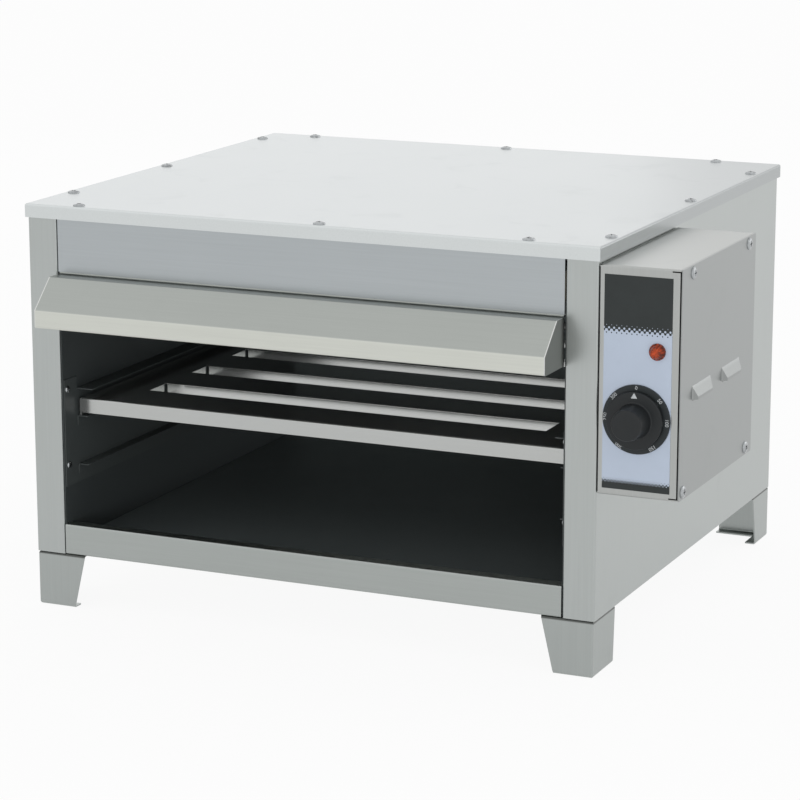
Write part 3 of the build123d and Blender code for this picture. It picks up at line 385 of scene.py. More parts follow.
@dataclass(frozen=True)
class PaintedLightBandSteel(BrushedSteel):
    """Satin sheet with a band of another tint from the low end of one axis. The band is painted light on one
    face: a painted highlight on some sheets and painted shade on others.
    """

    # Defaults are the visor's: its paler lip tint is a painted highlight.
    node: str = "visor"
    lip: Colour = (0.635, 0.65, 0.6)
    lip_depth: float = 0.017
    lip_axis: int = 2

    def tone(self, paint: Paint, shade: Signal) -> Signal:
        """Colour of the sheet, with the lip tint as painted light up to its depth.

        Args:
            paint: Material that is being built.
            shade: Brush marks and clouds, about 0 to 1.

        Returns:
            The colour.
        """
        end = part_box(self.node)[0][self.lip_axis] + self.lip_depth
        past = paint.axes()[self.lip_axis].between(end, end + self.streak_width)
        return paint.mix(past, self.brushed(paint, shade, self.lip), super().tone(paint, shade))


@dataclass(frozen=True)
class TraySteel(PaintedLightBandSteel):
    """Satin tray with a painted highlight on its lip in front and painted shade on its turned-down edge at
    its right-hand side.
    """

    # Tint of the right-hand edge: painted shade.
    edge: Colour = (0.41, 0.43, 0.433)

    def tone(self, paint: Paint, shade: Signal) -> Signal:
        """Colour of the tray, with the painted shade of the edge beyond its bend.

        Args:
            paint: Material that is being built.
            shade: Brush marks and clouds, about 0 to 1.

        Returns:
            The colour.
        """
        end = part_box(self.node)[1].x - self.lip_depth
        aside = paint.axes()[0].between(end - self.lip_depth, end)
        return paint.mix(aside, super().tone(paint, shade), self.brushed(paint, shade, self.edge))


@dataclass(frozen=True)
class PaintedHighlightSteel(BrushedSteel):
    """Satin end plates, one at each side, with a painted highlight on their outer faces and the edges next to
    them.
    """

    painted_highlight: Colour = (0.68, 0.69, 0.67)
    node: str = "visor_end_caps"
    face_depth: float = 0.00004

    def tone(self, paint: Paint, shade: Signal) -> Signal:
        """Colour of the plates, with the painted highlight beyond a plane just inside their outer faces.

        Args:
            paint: Material that is being built.
            shade: Brush marks and clouds, about 0 to 1.

        Returns:
            The colour.
        """
        low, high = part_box(self.node)
        aside = paint.axes()[0] - (low.x + high.x) / 2
        face = (high.x - low.x) / 2 - self.face_depth
        # Painted highlight: the pale tint covers the outer faces and the edges next to them.
        outer = aside.math("ABSOLUTE", aside).between(face - self.face_depth, face)
        return paint.mix(outer, self.brushed(paint, shade, self.painted_highlight), super().tone(paint, shade))


@dataclass(frozen=True)
class BlackEnamel:
    """Satin black stove enamel with a slight orange-peel skin and a little dust."""

    tint: Colour = (0.056, 0.064, 0.064)
    dust: Colour = (0.073, 0.081, 0.08)
    roughness: float = 0.38
    _: KW_ONLY
    peel_scale: float = 620.0
    cloud_scale: float = 9.0
    speck_scale: float = 900.0
    peel_depth: float = 0.00003
    gloss: float = 0.35

    def make(self, name: str) -> bpy.types.Material:
        """Build the material.

        Args:
            name: Name of the material.

        Returns:
            The finished material.
        """
        paint = Paint(name)
        peel = paint.noise(self.peel_scale, 2.0)
        clouds = paint.noise(self.cloud_scale, 4.0, warp=0.6)
        specks = paint.noise(self.speck_scale, 1.0).between(0.7, 0.78)
        return paint.surface(
            {
                "Base Color": self.tone(paint, clouds.between(0.35, 0.85) * 0.5 + specks * 0.4),
                "Roughness": clouds * 0.2 + peel * 0.06 + (self.roughness - 0.12),
                "Specular IOR Level": self.gloss,
                "Normal": paint.bump(peel, self.peel_depth, 0.3),
            }
        )

    def tone(self, paint: Paint, dusty: Signal) -> Signal:
        """Colour of the enamel.

        Args:
            paint: Material that is being built.
            dusty: How much dust covers the enamel, 0 to 1.

        Returns:
            The colour.
        """
        return paint.mix(dusty, self.tint, self.dust)


@dataclass(frozen=True)
class PaintedLightEnamel(BlackEnamel):
    """Stove enamel painted paler and paler towards the back, as painted light where little lamp light
    reaches.
    """

    back_painted_light: Colour = (0.08, 0.091, 0.093)
    node: str = "floor_liner"

    def tone(self, paint: Paint, dusty: Signal) -> Signal:
        """Colour of the enamel, painted paler further back as painted light.

        Args:
            paint: Material that is being built.
            dusty: How much dust covers the enamel, 0 to 1.

        Returns:
            The colour.
        """
        low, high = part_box(self.node)
        # Painted light: the tint moves to the paler one from front to back.
        towards_back = paint.axes()[1].between(low.y, high.y)
        return paint.mix(towards_back, super().tone(paint, dusty), self.back_painted_light)


@dataclass(frozen=True)
class MouldedPlastic:
    """Moulded plastic or rubber with a fine eroded skin and handling sheen."""

    tint: Colour
    roughness: float = 0.42
    skin: float = 1800.0
    _: KW_ONLY
    cloud_scale: float = 45.0
    mottle: float = 0.18
    skin_depth: float = 0.00003
    gloss: float = 0.32

    def make(self, name: str) -> bpy.types.Material:
        """Build the material.

        Args:
            name: Name of the material.

        Returns:
            The finished material.
        """
        paint = Paint(name)
        skin = paint.noise(self.skin, 2.0)
        clouds = paint.noise(self.cloud_scale, 3.0, warp=0.5)
        dull, pale = shaded(self.tint, 1 - self.mottle), shaded(self.tint, 1 + self.mottle)
        colour = paint.mix(clouds * 0.7 + skin * 0.3, dull, pale)
        return paint.surface(
            {
                "Base Color": colour,
                "Roughness": clouds * 0.16 + skin * 0.08 + (self.roughness - 0.12),
                "Specular IOR Level": self.gloss,
                "Normal": paint.bump(skin, self.skin_depth, 0.35),
            }
        )


@dataclass(frozen=True)
class PlainMetal:
    """Drawn, turned or plated metal with fine tool marks and tarnish."""

    tint: Colour
    tarnish: Colour
    roughness: float = 0.3
    tarnish_scale: float = 60.0
    mark_scale: float = 2200.0
    mark_depth: float = 0.00001

    def make(self, name: str) -> bpy.types.Material:
        """Build the material.

        Args:
            name: Name of the material.

        Returns:
            The finished material.
        """
        paint = Paint(name)
        marks = paint.noise(self.mark_scale, 2.0)
        stains = paint.noise(self.tarnish_scale, 4.0, warp=0.7)
        return paint.surface(
            {
                "Base Color": paint.mix(stains.between(0.42, 0.78), self.tint, self.tarnish),
                "Metallic": 1.0,
                "Roughness": stains * 0.2 + marks * 0.08 + (self.roughness - 0.12),
                "Normal": paint.bump(marks, self.mark_depth, 0.3),
            }
        )


@dataclass(frozen=True)
class FibreMat:
    """Fibrous or woven stuff: mineral wool, or the glass sleeve of a wire."""

    tint: Colour
    shade: Colour
    fibre: float = 320.0
    relief: float = 0.0008
    fibre_stretch: float = 0.15
    lump_scale: float = 38.0

    def make(self, name: str) -> bpy.types.Material:
        """Build the material.

        Args:
            name: Name of the material.

        Returns:
            The finished material.
        """
        paint = Paint(name)
        pitch = (self.fibre, self.fibre, self.fibre * self.fibre_stretch)
        fibres = paint.noise(1.0, 4.0, paint.stretched(pitch), 2.0)
        lumps = paint.noise(self.lump_scale, 3.0)
        return paint.surface(
            {
                "Base Color": paint.mix(fibres * 0.7 + lumps * 0.3, self.shade, self.tint),
                "Roughness": fibres * 0.1 + 0.85,
                "Normal": paint.bump(fibres * 0.6 + lumps * 0.4, self.relief, 0.6),
            }
        )


@dataclass(frozen=True)
class PrintedFilm:
    """Label film with a dark head and foot that fade in checkers to a pale field."""

    dark: Colour = (0.022, 0.026, 0.026)
    pale: Colour = (0.405, 0.462, 0.555)
    head: float = 0.0455
    fade: float = 0.0105
    foot: float = 0.005
    foot_fade: float = 0.006
    checker: float = 0.0049
    foot_checker: float = 0.0033
    dot_height: float = 0.92
    dot_edge: float = 0.12
    fade_reach: float = 1.08
    grime_scale: float = 70.0
    peel_scale: float = 1500.0
    peel_depth: float = 0.00001
    gloss: float = 0.28

    def make(self, name: str, low: Vector, high: Vector) -> bpy.types.Material:
        """Build the material.

        Args:
            name: Name of the material.
            low: Lowest corner of the film.
            high: Highest corner of the film.

        Returns:
            The finished material.
        """
        paint = Paint(name)
        across, _, up = paint.axes()
        aside, below, above = across - low.x, high.z - up, up - low.z
        head_dots = aside.wave(self.checker) * below.wave(self.checker)
        foot_dots = aside.wave(self.foot_checker) * above.wave(self.foot_checker)
        head = self.faded(head_dots, (below - self.head) / self.fade)
        foot = self.faded(foot_dots, (above - self.foot) / self.foot_fade)
        grime = paint.noise(self.grime_scale, 4.0, warp=0.5)
        peel = paint.noise(self.peel_scale, 1.0)
        field = paint.mix(grime, shaded(self.pale, 0.96), shaded(self.pale, 1.03))
        ink = paint.mix(grime, shaded(self.dark, 0.85), shaded(self.dark, 1.2))
        return paint.surface(
            {
                "Base Color": paint.mix(head.most(foot), field, ink),
                "Roughness": grime * 0.14 + peel * 0.05 + 0.3,
                "Specular IOR Level": self.gloss,
                "Normal": paint.bump(peel, self.peel_depth, 0.25),
            }
        )

    def faded(self, dots: Signal, share: Signal) -> Signal:
        """Print that is whole before its fade, breaks into checkers along it and ends after it.

        Args:
            dots: Checkers, from -1 to 1.
            share: How far along the fade, 0 at its start and 1 at its end.

        Returns:
            1 where there is ink.
        """
        bare = dots * self.dot_height + share * (2 * self.fade_reach) - self.fade_reach
        return 1.0 - bare.between(-self.dot_edge, self.dot_edge)


@dataclass(frozen=True)
class LampLens:
    """Red moulded lens with facets that fan out from its middle, and a painted glow in its colour."""

    deep: Colour = (0.085, 0.018, 0.009)
    bright: Colour = (0.5, 0.062, 0.012)
    facets: int = 12
    facet_depth: float = 0.0003
    depth_scale: float = 210.0
    gloss: float = 0.3

    def make(self, name: str, low: Vector, high: Vector) -> bpy.types.Material:
        """Build the material.

        Args:
            name: Name of the material.
            low: Lowest corner of the lens.
            high: Highest corner of the lens.

        Returns:
            The finished material.
        """
        paint = Paint(name)
        across, _, up = paint.axes()
        aside, above = across - (low.x + high.x) / 2, up - (low.z + high.z) / 2
        fan = aside.math("ARCTAN2", above, aside).wave(2 * math.pi / self.facets)
        reach = (aside * aside + above * above) ** 0.5 / ((high.x - low.x) / 2)
        depth = paint.noise(self.depth_scale, 2.0, warp=0.4)
        # Painted light: the colour is brighter towards the middle and in a pattern along the facets, darker
        # towards the outer edge; the noise adds random depth of colour.
        glow = depth * 2.2 + fan * 0.18 - reach * 0.45 - 0.5
        return paint.surface(
            {
                "Base Color": paint.mix(glow, self.deep, self.bright),
                "Roughness": depth * 0.12 + 0.2,
                "Specular IOR Level": self.gloss,
                "Normal": paint.bump(fan * reach, self.facet_depth, 0.3),
            }
        )


@dataclass(frozen=True)
class PrintInk:
    """Screen-printed white ink, a little worn."""

    tint: Colour = (0.46, 0.48, 0.49)
    worn: Colour = (0.24, 0.26, 0.27)
    wear_scale: float = 900.0
    wear_depth: float = 0.00001

    def make(self, name: str) -> bpy.types.Material:
        """Build the material.

        Args:
            name: Name of the material.

        Returns:
            The finished material.
        """
        paint = Paint(name)
        wear = paint.noise(self.wear_scale, 3.0)
        return paint.surface(
            {
                "Base Color": paint.mix(wear.between(0.5, 0.8), self.tint, self.worn),
                "Roughness": wear * 0.2 + 0.4,
                "Normal": paint.bump(wear, self.wear_depth, 0.3),
            }
        )


class Frame:
    """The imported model, with what every sub-assembly does to its nodes."""

    def __init__(self) -> None:
        """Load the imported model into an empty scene."""
        for old in list(bpy.data.objects):
            bpy.data.objects.remove(old)
        self.nodes: dict[str, bpy.types.Object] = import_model()["nodes"]
        self.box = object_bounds()

    def dress(self, names: Sequence[str], material: bpy.types.Material) -> None:
        """Give CAD nodes a finish.

        Args:
            names: Names of the nodes.
            material: Their material.
        """
        for name in names:
            mesh = self.nodes[name].data
            mesh.materials.clear()
            mesh.materials.append(material)
            LOG.info("dressed %s with %s", name, material.name)

    def solids(self, name: str) -> list[tuple[Vector, Vector]]:
        """Find the separate solids of a node, on a merged copy of its mesh.

        Args:
            name: Name of the node.

        Returns:
            Lowest and highest corner of each solid.
        """
        shape = bmesh.new()
        shape.from_mesh(self.nodes[name].data)
        bmesh.ops.remove_doubles(shape, verts=shape.verts, dist=MERGE_DISTANCE)
        boxes = []
        waiting = set(shape.verts)
        while waiting:
            group = [waiting.pop()]
            for vert in group:
                fresh = {edge.other_vert(vert) for edge in vert.link_edges} & waiting
                waiting -= fresh
                group.extend(fresh)
            corners = [[pick(v.co[axis] for v in group) for axis in range(3)] for pick in (min, max)]
            boxes.append((Vector(corners[0]), Vector(corners[1])))
        shape.free()
        return sorted(boxes, key=lambda box: tuple(box[0]))


def add_piece(name: str, mesh: bpy.types.Mesh, body: str, slot: str, *replaced: str) -> bpy.types.Object:
    """Put a finished mesh on a body of the frame.

    Args:
        name: Name of the piece.
        mesh: Its mesh, in place.
        body: CAD body that carries it.
        slot: Material slot of the record; not used.
        replaced: CAD nodes that it stands for.

    Returns:
        The new object.
    """
    piece = bpy.data.objects.new(name, mesh)
    bpy.context.scene.collection.objects.link(piece)
    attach(piece, body)
    if replaced:
        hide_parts(*replaced)
    LOG.info("made %s, %d faces", name, len(mesh.polygons))
    return piece


def evaluated_mesh(source: bpy.types.Object) -> bpy.types.Mesh:
    """Turn an object into a plain mesh, as its modifiers or its curve give it.

    Args:
        source: The object.

    Returns:
        The new mesh.
    """
    bpy.context.view_layer.update()
    graph = bpy.context.evaluated_depsgraph_get()
    return bpy.data.meshes.new_from_object(source.evaluated_get(graph))


class Facing(Enum):
    """Side that a set of screw heads looks to."""

    UP = (0.0, 0.0, 1.0)
    DOWN = (0.0, 0.0, -1.0)
    OUTWARD = (1.0, 0.0, 0.0)
    BACK = (0.0, 1.0, 0.0)
    INWARD = (-1.0, 0.0, 0.0)


@dataclass(frozen=True)
class ScrewRow:
    """One node of screws: where they look, and their sizes."""

    node: str
    facing: Facing
    head_radius: float = 0.0036
    head_height: float = 0.0022
    shank_radius: float = 0.0019
    shank_length: float = 0.003
    seed: int = 1


@dataclass
class Fasteners:
    """Screws with domed heads and cross recesses, drawn by Geometry Nodes on the seats of their CAD nodes."""

    finish: PlainMetal = PlainMetal((0.44, 0.46, 0.47), (0.22, 0.225, 0.23), 0.24, 240.0)
    dome: float = 0.62
    recess_span: float = 0.95
    recess_width: float = 0.2
    recess_depth: float = 0.55
    head_segments: int = 32
    head_rings: int = 20
    shank_sides: int = 16
    sharp_angle: float = math.radians(32)
    rows: tuple[ScrewRow, ...] = (
        ScrewRow("lid_screws", Facing.UP, 0.006, shank_length=0.005, seed=3),
        ScrewRow("cover_screws", Facing.OUTWARD, 0.006, shank_length=0.005, seed=5),
        ScrewRow("back_panel_screws", Facing.BACK, seed=7),
        ScrewRow("foot_screws", Facing.DOWN, seed=9),
        ScrewRow("runner_screws", Facing.INWARD, seed=11),
    )

    def tree(self, material: bpy.types.Material) -> bpy.types.NodeTree:
        """Build the node group that sets a screw on every point.

        Args:
            material: Finish of the screws.

        Returns:
            The group, with named inputs for the sizes.
        """
        group = bpy.data.node_groups.new("screw_row", "GeometryNodeTree")
        group.interface.new_socket("Seats", in_out="INPUT", socket_type="NodeSocketGeometry")
        for size in ("Head Radius", "Head Height", "Shank Radius", "Shank Length"):
            group.interface.new_socket(size, in_out="INPUT", socket_type="NodeSocketFloat")
        group.interface.new_socket("Seed", in_out="INPUT", socket_type="NodeSocketInt")
        group.interface.new_socket("Screws", in_out="OUTPUT", socket_type="NodeSocketGeometry")
        board = Board(group)
        ports = board.add("NodeGroupInput").outputs
        seats, radius, height, shank, length, seed = [Signal(board, port) for port in ports[:6]]
        rounds = {"Segments": self.head_segments, "Rings": self.head_rings}
        turned = board.read("GeometryNodeMeshUVSphere", inputs=rounds)
        spot = board.add("ShaderNodeSeparateXYZ", inputs={0: board.read("GeometryNodeInputPosition")})
        x, y, z = [Signal(board, socket) for socket in spot.outputs]
        crown = z.most(0.0) ** self.dome * height
        profile = board.read("ShaderNodeCombineXYZ", inputs={0: x * radius, 1: y * radius, 2: crown})
        head = board.read("GeometryNodeSetPosition", inputs={"Geometry": turned, "Position": profile})
        span, width = radius * self.recess_span, radius * self.recess_width
        depth = height * (2 * self.recess_depth)
        top = board.read("ShaderNodeCombineXYZ", inputs={2: height})
        cutters = []
        for block_sides in ((span, width, depth), (width, span, depth)):
            block = board.read("ShaderNodeCombineXYZ", inputs=dict(enumerate(block_sides)))
            cube = board.read("GeometryNodeMeshCube", inputs={"Size": block})
            cutters.append(board.read("GeometryNodeTransform", inputs={"Geometry": cube, "Translation": top}))
        union, difference = [{"operation": kind, "solver": "EXACT"} for kind in ("UNION", "DIFFERENCE")]
        cross = board.read("GeometryNodeMeshBoolean", union, {"Mesh 2": cutters})
        cut = board.read("GeometryNodeMeshBoolean", difference, {"Mesh 1": head, "Mesh 2": cross})
        sunk = board.read("ShaderNodeCombineXYZ", inputs={2: length * -0.5})
        sides = {"Vertices": self.shank_sides, "Radius": shank, "Depth": length}
        rod = board.read("GeometryNodeMeshCylinder", inputs=sides)
        low_rod = board.read("GeometryNodeTransform", inputs={"Geometry": rod, "Translation": sunk})
        screw = board.read("GeometryNodeJoinGeometry", inputs={"Geometry": [cut, low_rod]})
        vector = {"data_type": "FLOAT_VECTOR"}
        facing = board.read("GeometryNodeInputNamedAttribute", vector, {"Name": "facing"})
        upright = board.read("FunctionNodeAlignRotationToVector", {"axis": "Z"}, {"Vector": facing})
        spin = board.read("FunctionNodeRandomValue", inputs={2: 0.0, 3: math.pi, "Seed": seed}, output=1)
        twist = board.read("FunctionNodeAxisAngleToRotation", inputs={"Axis": (0.0, 0.0, 1.0), "Angle": spin})
        turns = {"Rotation": upright, "Rotate By": twist}
        stance = board.read("FunctionNodeRotateRotation", {"rotation_space": "LOCAL"}, turns)
        placed = board.read(
            "GeometryNodeInstanceOnPoints", inputs={"Points": seats, "Instance": screw, "Rotation": stance}
        )
        real = board.read("GeometryNodeRealizeInstances", inputs={"Geometry": placed})
        fold = board.read("GeometryNodeInputMeshEdgeAngle")
        creased = fold.math("LESS_THAN", fold, self.sharp_angle)
        soft = board.read("GeometryNodeSetShadeSmooth", {"domain": "FACE"}, {"Geometry": real})
        crisp = board.read(
            "GeometryNodeSetShadeSmooth", {"domain": "EDGE"}, {"Geometry": soft, "Shade Smooth": creased}
        )
        coated = board.read("GeometryNodeSetMaterial", inputs={"Geometry": crisp, "Material": material})
        board.add("NodeGroupOutput", inputs={0: coated})
        return group

    def seats(self, frame: Frame, row: ScrewRow) -> bpy.types.Mesh:
        """Points under the heads of a CAD screw node, with the side that each looks to.

        Args:
            frame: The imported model.
            row: The screws.

        Returns:
            A mesh of points with the attribute "facing".
        """
        middle = sum(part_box("base_panel"), Vector()).x / 2
        points, sides = [], []
        for low, high in frame.solids(row.node):
            side = Vector(row.facing.value)
            if row.facing is Facing.INWARD and low.x < middle:
                side = -side
            centre = (low + high) / 2
            reach = max((high - centre).dot(side), (low - centre).dot(side))
            points.append(centre + side * (reach - row.head_height))
            sides.append(side)
        mesh = bpy.data.meshes.new(row.node + "_seats")
        mesh.from_pydata(points, [], [])
        facing = mesh.attributes.new("facing", "FLOAT_VECTOR", "POINT")
        facing.data.foreach_set("vector", [value for side in sides for value in side])
        return mesh

    def build(self, frame: Frame) -> None:
        """Replace each row of CAD screws.

        Args:
            frame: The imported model.
        """
        group = self.tree(self.finish.make("screw_steel_finish"))
        for row in self.rows:
            piece = add_piece(row.node + "_cross", self.seats(frame, row), "cabinet", "screw_steel")
            modifier = piece.modifiers.new("screws", "NODES")
            modifier.node_group = group
            sizes = (row.head_radius, row.head_height, row.shank_radius, row.shank_length, row.seed)
            ports = [item for item in group.interface.items_tree if item.in_out == "INPUT"][1:]
            for port, size in zip(ports, sizes):
                modifier[port.identifier] = size
            mesh = evaluated_mesh(piece)
            piece.modifiers.clear()
            piece.data = mesh
            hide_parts(row.node)
            LOG.info("set %s, %d faces", piece.name, len(mesh.polygons))


@dataclass(frozen=True)
class Sheets:
    """Sheets that share one finish: their nodes, the direction of their brush marks and their finish, whose
    tint is painted light in part.
    """

    finish_name: str
    grain: Grain
    finish: BrushedSteel
    nodes: tuple[str, ...]


@dataclass
class Casing:
    """Outer sheets of the cabinet, its visor, its feet and the control box."""

    # The tints differ between sheets as painted light: each is set lighter or darker for how light falls on
    # that sheet.
    sheets: tuple[Sheets, ...] = (
        # Lid: the pale lip tint is a painted highlight on the front flange, the edge tint painted shade on
        # the right-hand flange.
        Sheets(
            "lid_steel",
            Grain.ALONG,
            TraySteel((0.51, 0.533, 0.538), node="lid", lip=(0.67, 0.7, 0.7), lip_depth=0.0006, lip_axis=1),
            ("lid",),
        ),
        Sheets("side_steel", Grain.UPRIGHT, BrushedSteel(), ("left_side_panel", "right_side_panel")),
        Sheets("fascia_steel", Grain.ACROSS, BrushedSteel((0.44, 0.47, 0.485)), ("front_fascia",)),
        # Visor: the pale tint of its lip, the lowest 17 mm, is a painted highlight.
        Sheets("visor_steel", Grain.ACROSS, PaintedLightBandSteel((0.4, 0.42, 0.4)), ("visor",)),
        # End caps: the dark tint is painted shade, the pale outer tint a painted highlight.
        Sheets("cap_steel", Grain.UPRIGHT, PaintedHighlightSteel((0.27, 0.277, 0.265)), ("visor_end_caps",)),
        # Cover: beyond a plane just outside the flat sheet, on the louvres, the darker tint is painted shade.
        Sheets(
            "rail_steel",
            Grain.ACROSS,
            BrushedSteel((0.41, 0.435, 0.422)),
            ("lower_front_rail", "base_panel"),
        ),
        Sheets("back_steel", Grain.UPRIGHT, BrushedSteel((0.42, 0.44, 0.44), 0.12, 0.34), ("back_panel",)),
        Sheets("box_steel", Grain.UPRIGHT, BrushedSteel((0.44, 0.453, 0.442)), ("control_box",)),
        Sheets(
            "cover_steel",
            Grain.UPRIGHT,
            PaintedLightBandSteel(
                (0.305, 0.318, 0.315),
                node="control_box_cover",
                lip=(0.34, 0.355, 0.352),
                lip_depth=0.0011,
                lip_axis=0,
            ),
            ("control_box_cover",),
        ),
        # Feet: their uppermost strip, where they meet the cabinet, takes the dark tint as painted shade.
        Sheets(
            "foot_steel",
            Grain.UPRIGHT,
            PaintedLightBandSteel(
                (0.1, 0.105, 0.1), node="front_left_foot", lip=(0.41, 0.435, 0.425), lip_depth=0.0525
            ),
            ("front_left_foot", "front_right_foot", "rear_left_foot", "rear_right_foot"),
        ),
    )

    def build(self, frame: Frame) -> None:
        """Give every sheet its finish."""
        for sheet in self.sheets:
            frame.dress(sheet.nodes, sheet.finish.make(sheet.finish_name, sheet.grain))


@dataclass
class CookingSpace:
    """Black inner walls, the reflector, and the heating elements below it."""

    # Painted light: both enamels grow paler towards the back, and the rear wall and floor take a lighter tint
    # than the side walls, standing in for the little light that reaches them.
    wall_enamel: PaintedLightEnamel = PaintedLightEnamel((0.044, 0.051, 0.052), (0.056, 0.064, 0.064), 0.4)
    floor_enamel: PaintedLightEnamel = PaintedLightEnamel(
        (0.09, 0.105, 0.107), (0.112, 0.129, 0.13), 0.48, (0.155, 0.178, 0.181)
    )
    reflector: BrushedSteel = BrushedSteel((0.36, 0.36, 0.35), 0.14, 0.36)
    hanger: BrushedSteel = BrushedSteel((0.34, 0.33, 0.31), 0.14, 0.4)
    sheath: PlainMetal = PlainMetal((0.15, 0.15, 0.145), (0.06, 0.06, 0.06), 0.45, 90.0)
    bushing: PlainMetal = PlainMetal((0.5, 0.47, 0.4), (0.25, 0.22, 0.17), 0.34, 140.0)
    ceramic: MouldedPlastic = MouldedPlastic((0.72, 0.7, 0.64), 0.5, 900.0)

    def build(self, frame: Frame) -> None:
        """Dress the walls and the heaters.

        Args:
            frame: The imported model.
        """
        frame.dress(("left_liner", "right_liner"), self.wall_enamel.make("wall_enamel"))
        frame.dress(("rear_liner", "floor_liner"), self.floor_enamel.make("floor_enamel"))
        frame.dress(("ceiling_reflector",), self.reflector.make("reflector_steel", Grain.ACROSS))
        frame.dress(("heater_hangers",), self.hanger.make("hanger_steel_finish", Grain.ALONG))
        rods = [f"heating_element_{place}" for place in ("front", "middle", "rear")]
        frame.dress(rods, self.sheath.make("element_oxide"))
        frame.dress(("heater_bushings", "heater_nuts", "heater_pins"), self.bushing.make("bushing_brass"))
        frame.dress(("heater_beads",), self.ceramic.make("bead_ceramic_finish"))


@dataclass
class RackAndRunners:
    """The slotted rack and the runners that it slides on."""

    # Rack: the lip tint, darker than the top, is painted shade on the rack's front face.
    rack_steel: PaintedLightBandSteel = PaintedLightBandSteel(
        (0.57, 0.582, 0.57),
        contrast=0.04,
        roughness=0.17,
        film=0.1,
        relief=0.02,
        node="rack",
        lip=(0.487, 0.498, 0.488),
        lip_depth=0.0012,
        lip_axis=1,
    )
    # Tint a little lighter than the side walls' front, as painted light against the shade on the runners'
    # ledges.
    runner_enamel: BlackEnamel = BlackEnamel()

    def build(self, frame: Frame) -> None:
        """Dress the rack and both runners.

        Args:
            frame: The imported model.
        """
        frame.dress(("rack",), self.rack_steel.make("rack_steel_finish", Grain.ACROSS))
        runners = [side + piece for side in ("left_runner", "right_runner") for piece in ("", "_ledges")]
        frame.dress(runners, self.runner_enamel.make("runner_enamel"))


def eased(corners: Sequence[Corner], steps: int = 6) -> list[tuple[float, float]]:
    """Round the corners of an open outline.

    Args:
        corners: Radius from the axis, distance along it, and how far the corner is cut back, for each corner.
        steps: Points in each rounding.

    Returns:
        The rounded outline as (radius, distance) points.
    """
    line = [Vector(corner[:2]) for corner in corners]
    outline = [tuple(line[0])]
    for index in range(1, len(line) - 1):
        cut, here = corners[index][2], line[index]
        if cut == 0:
            outline.append(tuple(here))
            continue
        start = here + (line[index - 1] - here).normalized() * cut
        end = here + (line[index + 1] - here).normalized() * cut
        for step in range(steps + 1):
            share = step / steps
            outline.append(tuple(start.lerp(here, share).lerp(here.lerp(end, share), share)))
    return [*outline, tuple(line[-1])]


def lathe(name: str, outline: Sequence[tuple[float, float]], axis: Vector, segments: int) -> bpy.types.Mesh:
    """Turn an outline about an axis along Y into a closed shell.

    Args:
        name: Name of the mesh.
        outline: (radius, distance towards the front) points, starting and ending on the axis.
        axis: A point of the axis, where the distance is zero.
        segments: Steps round the axis.

    Returns:
        The mesh, with its faces outwards.
    """
    shape = bmesh.new()
    rings = []
    for radius, reach in outline:
        count = segments if radius > 0 else 1
        turns = [2 * math.pi * step / segments for step in range(count)]
        spots = [Vector((radius * math.sin(turn), -reach, radius * math.cos(turn))) for turn in turns]
        rings.append([shape.verts.new(axis + spot) for spot in spots])
    for near, far in zip(rings, rings[1:]):
        for step in range(segments):
            after = (step + 1) % segments
            first = [near[at % len(near)] for at in (step, after)]
            last = [far[at % len(far)] for at in (after, step)]
            shape.faces.new(list(dict.fromkeys(first + last)))
    bmesh.ops.recalc_face_normals(shape, faces=shape.faces)
    mesh = bpy.data.meshes.new(name)
    shape.to_mesh(mesh)
    shape.free()
    mesh.shade_smooth()
    mesh.set_sharp_from_angle(angle=SHARP_ANGLE)
    return mesh


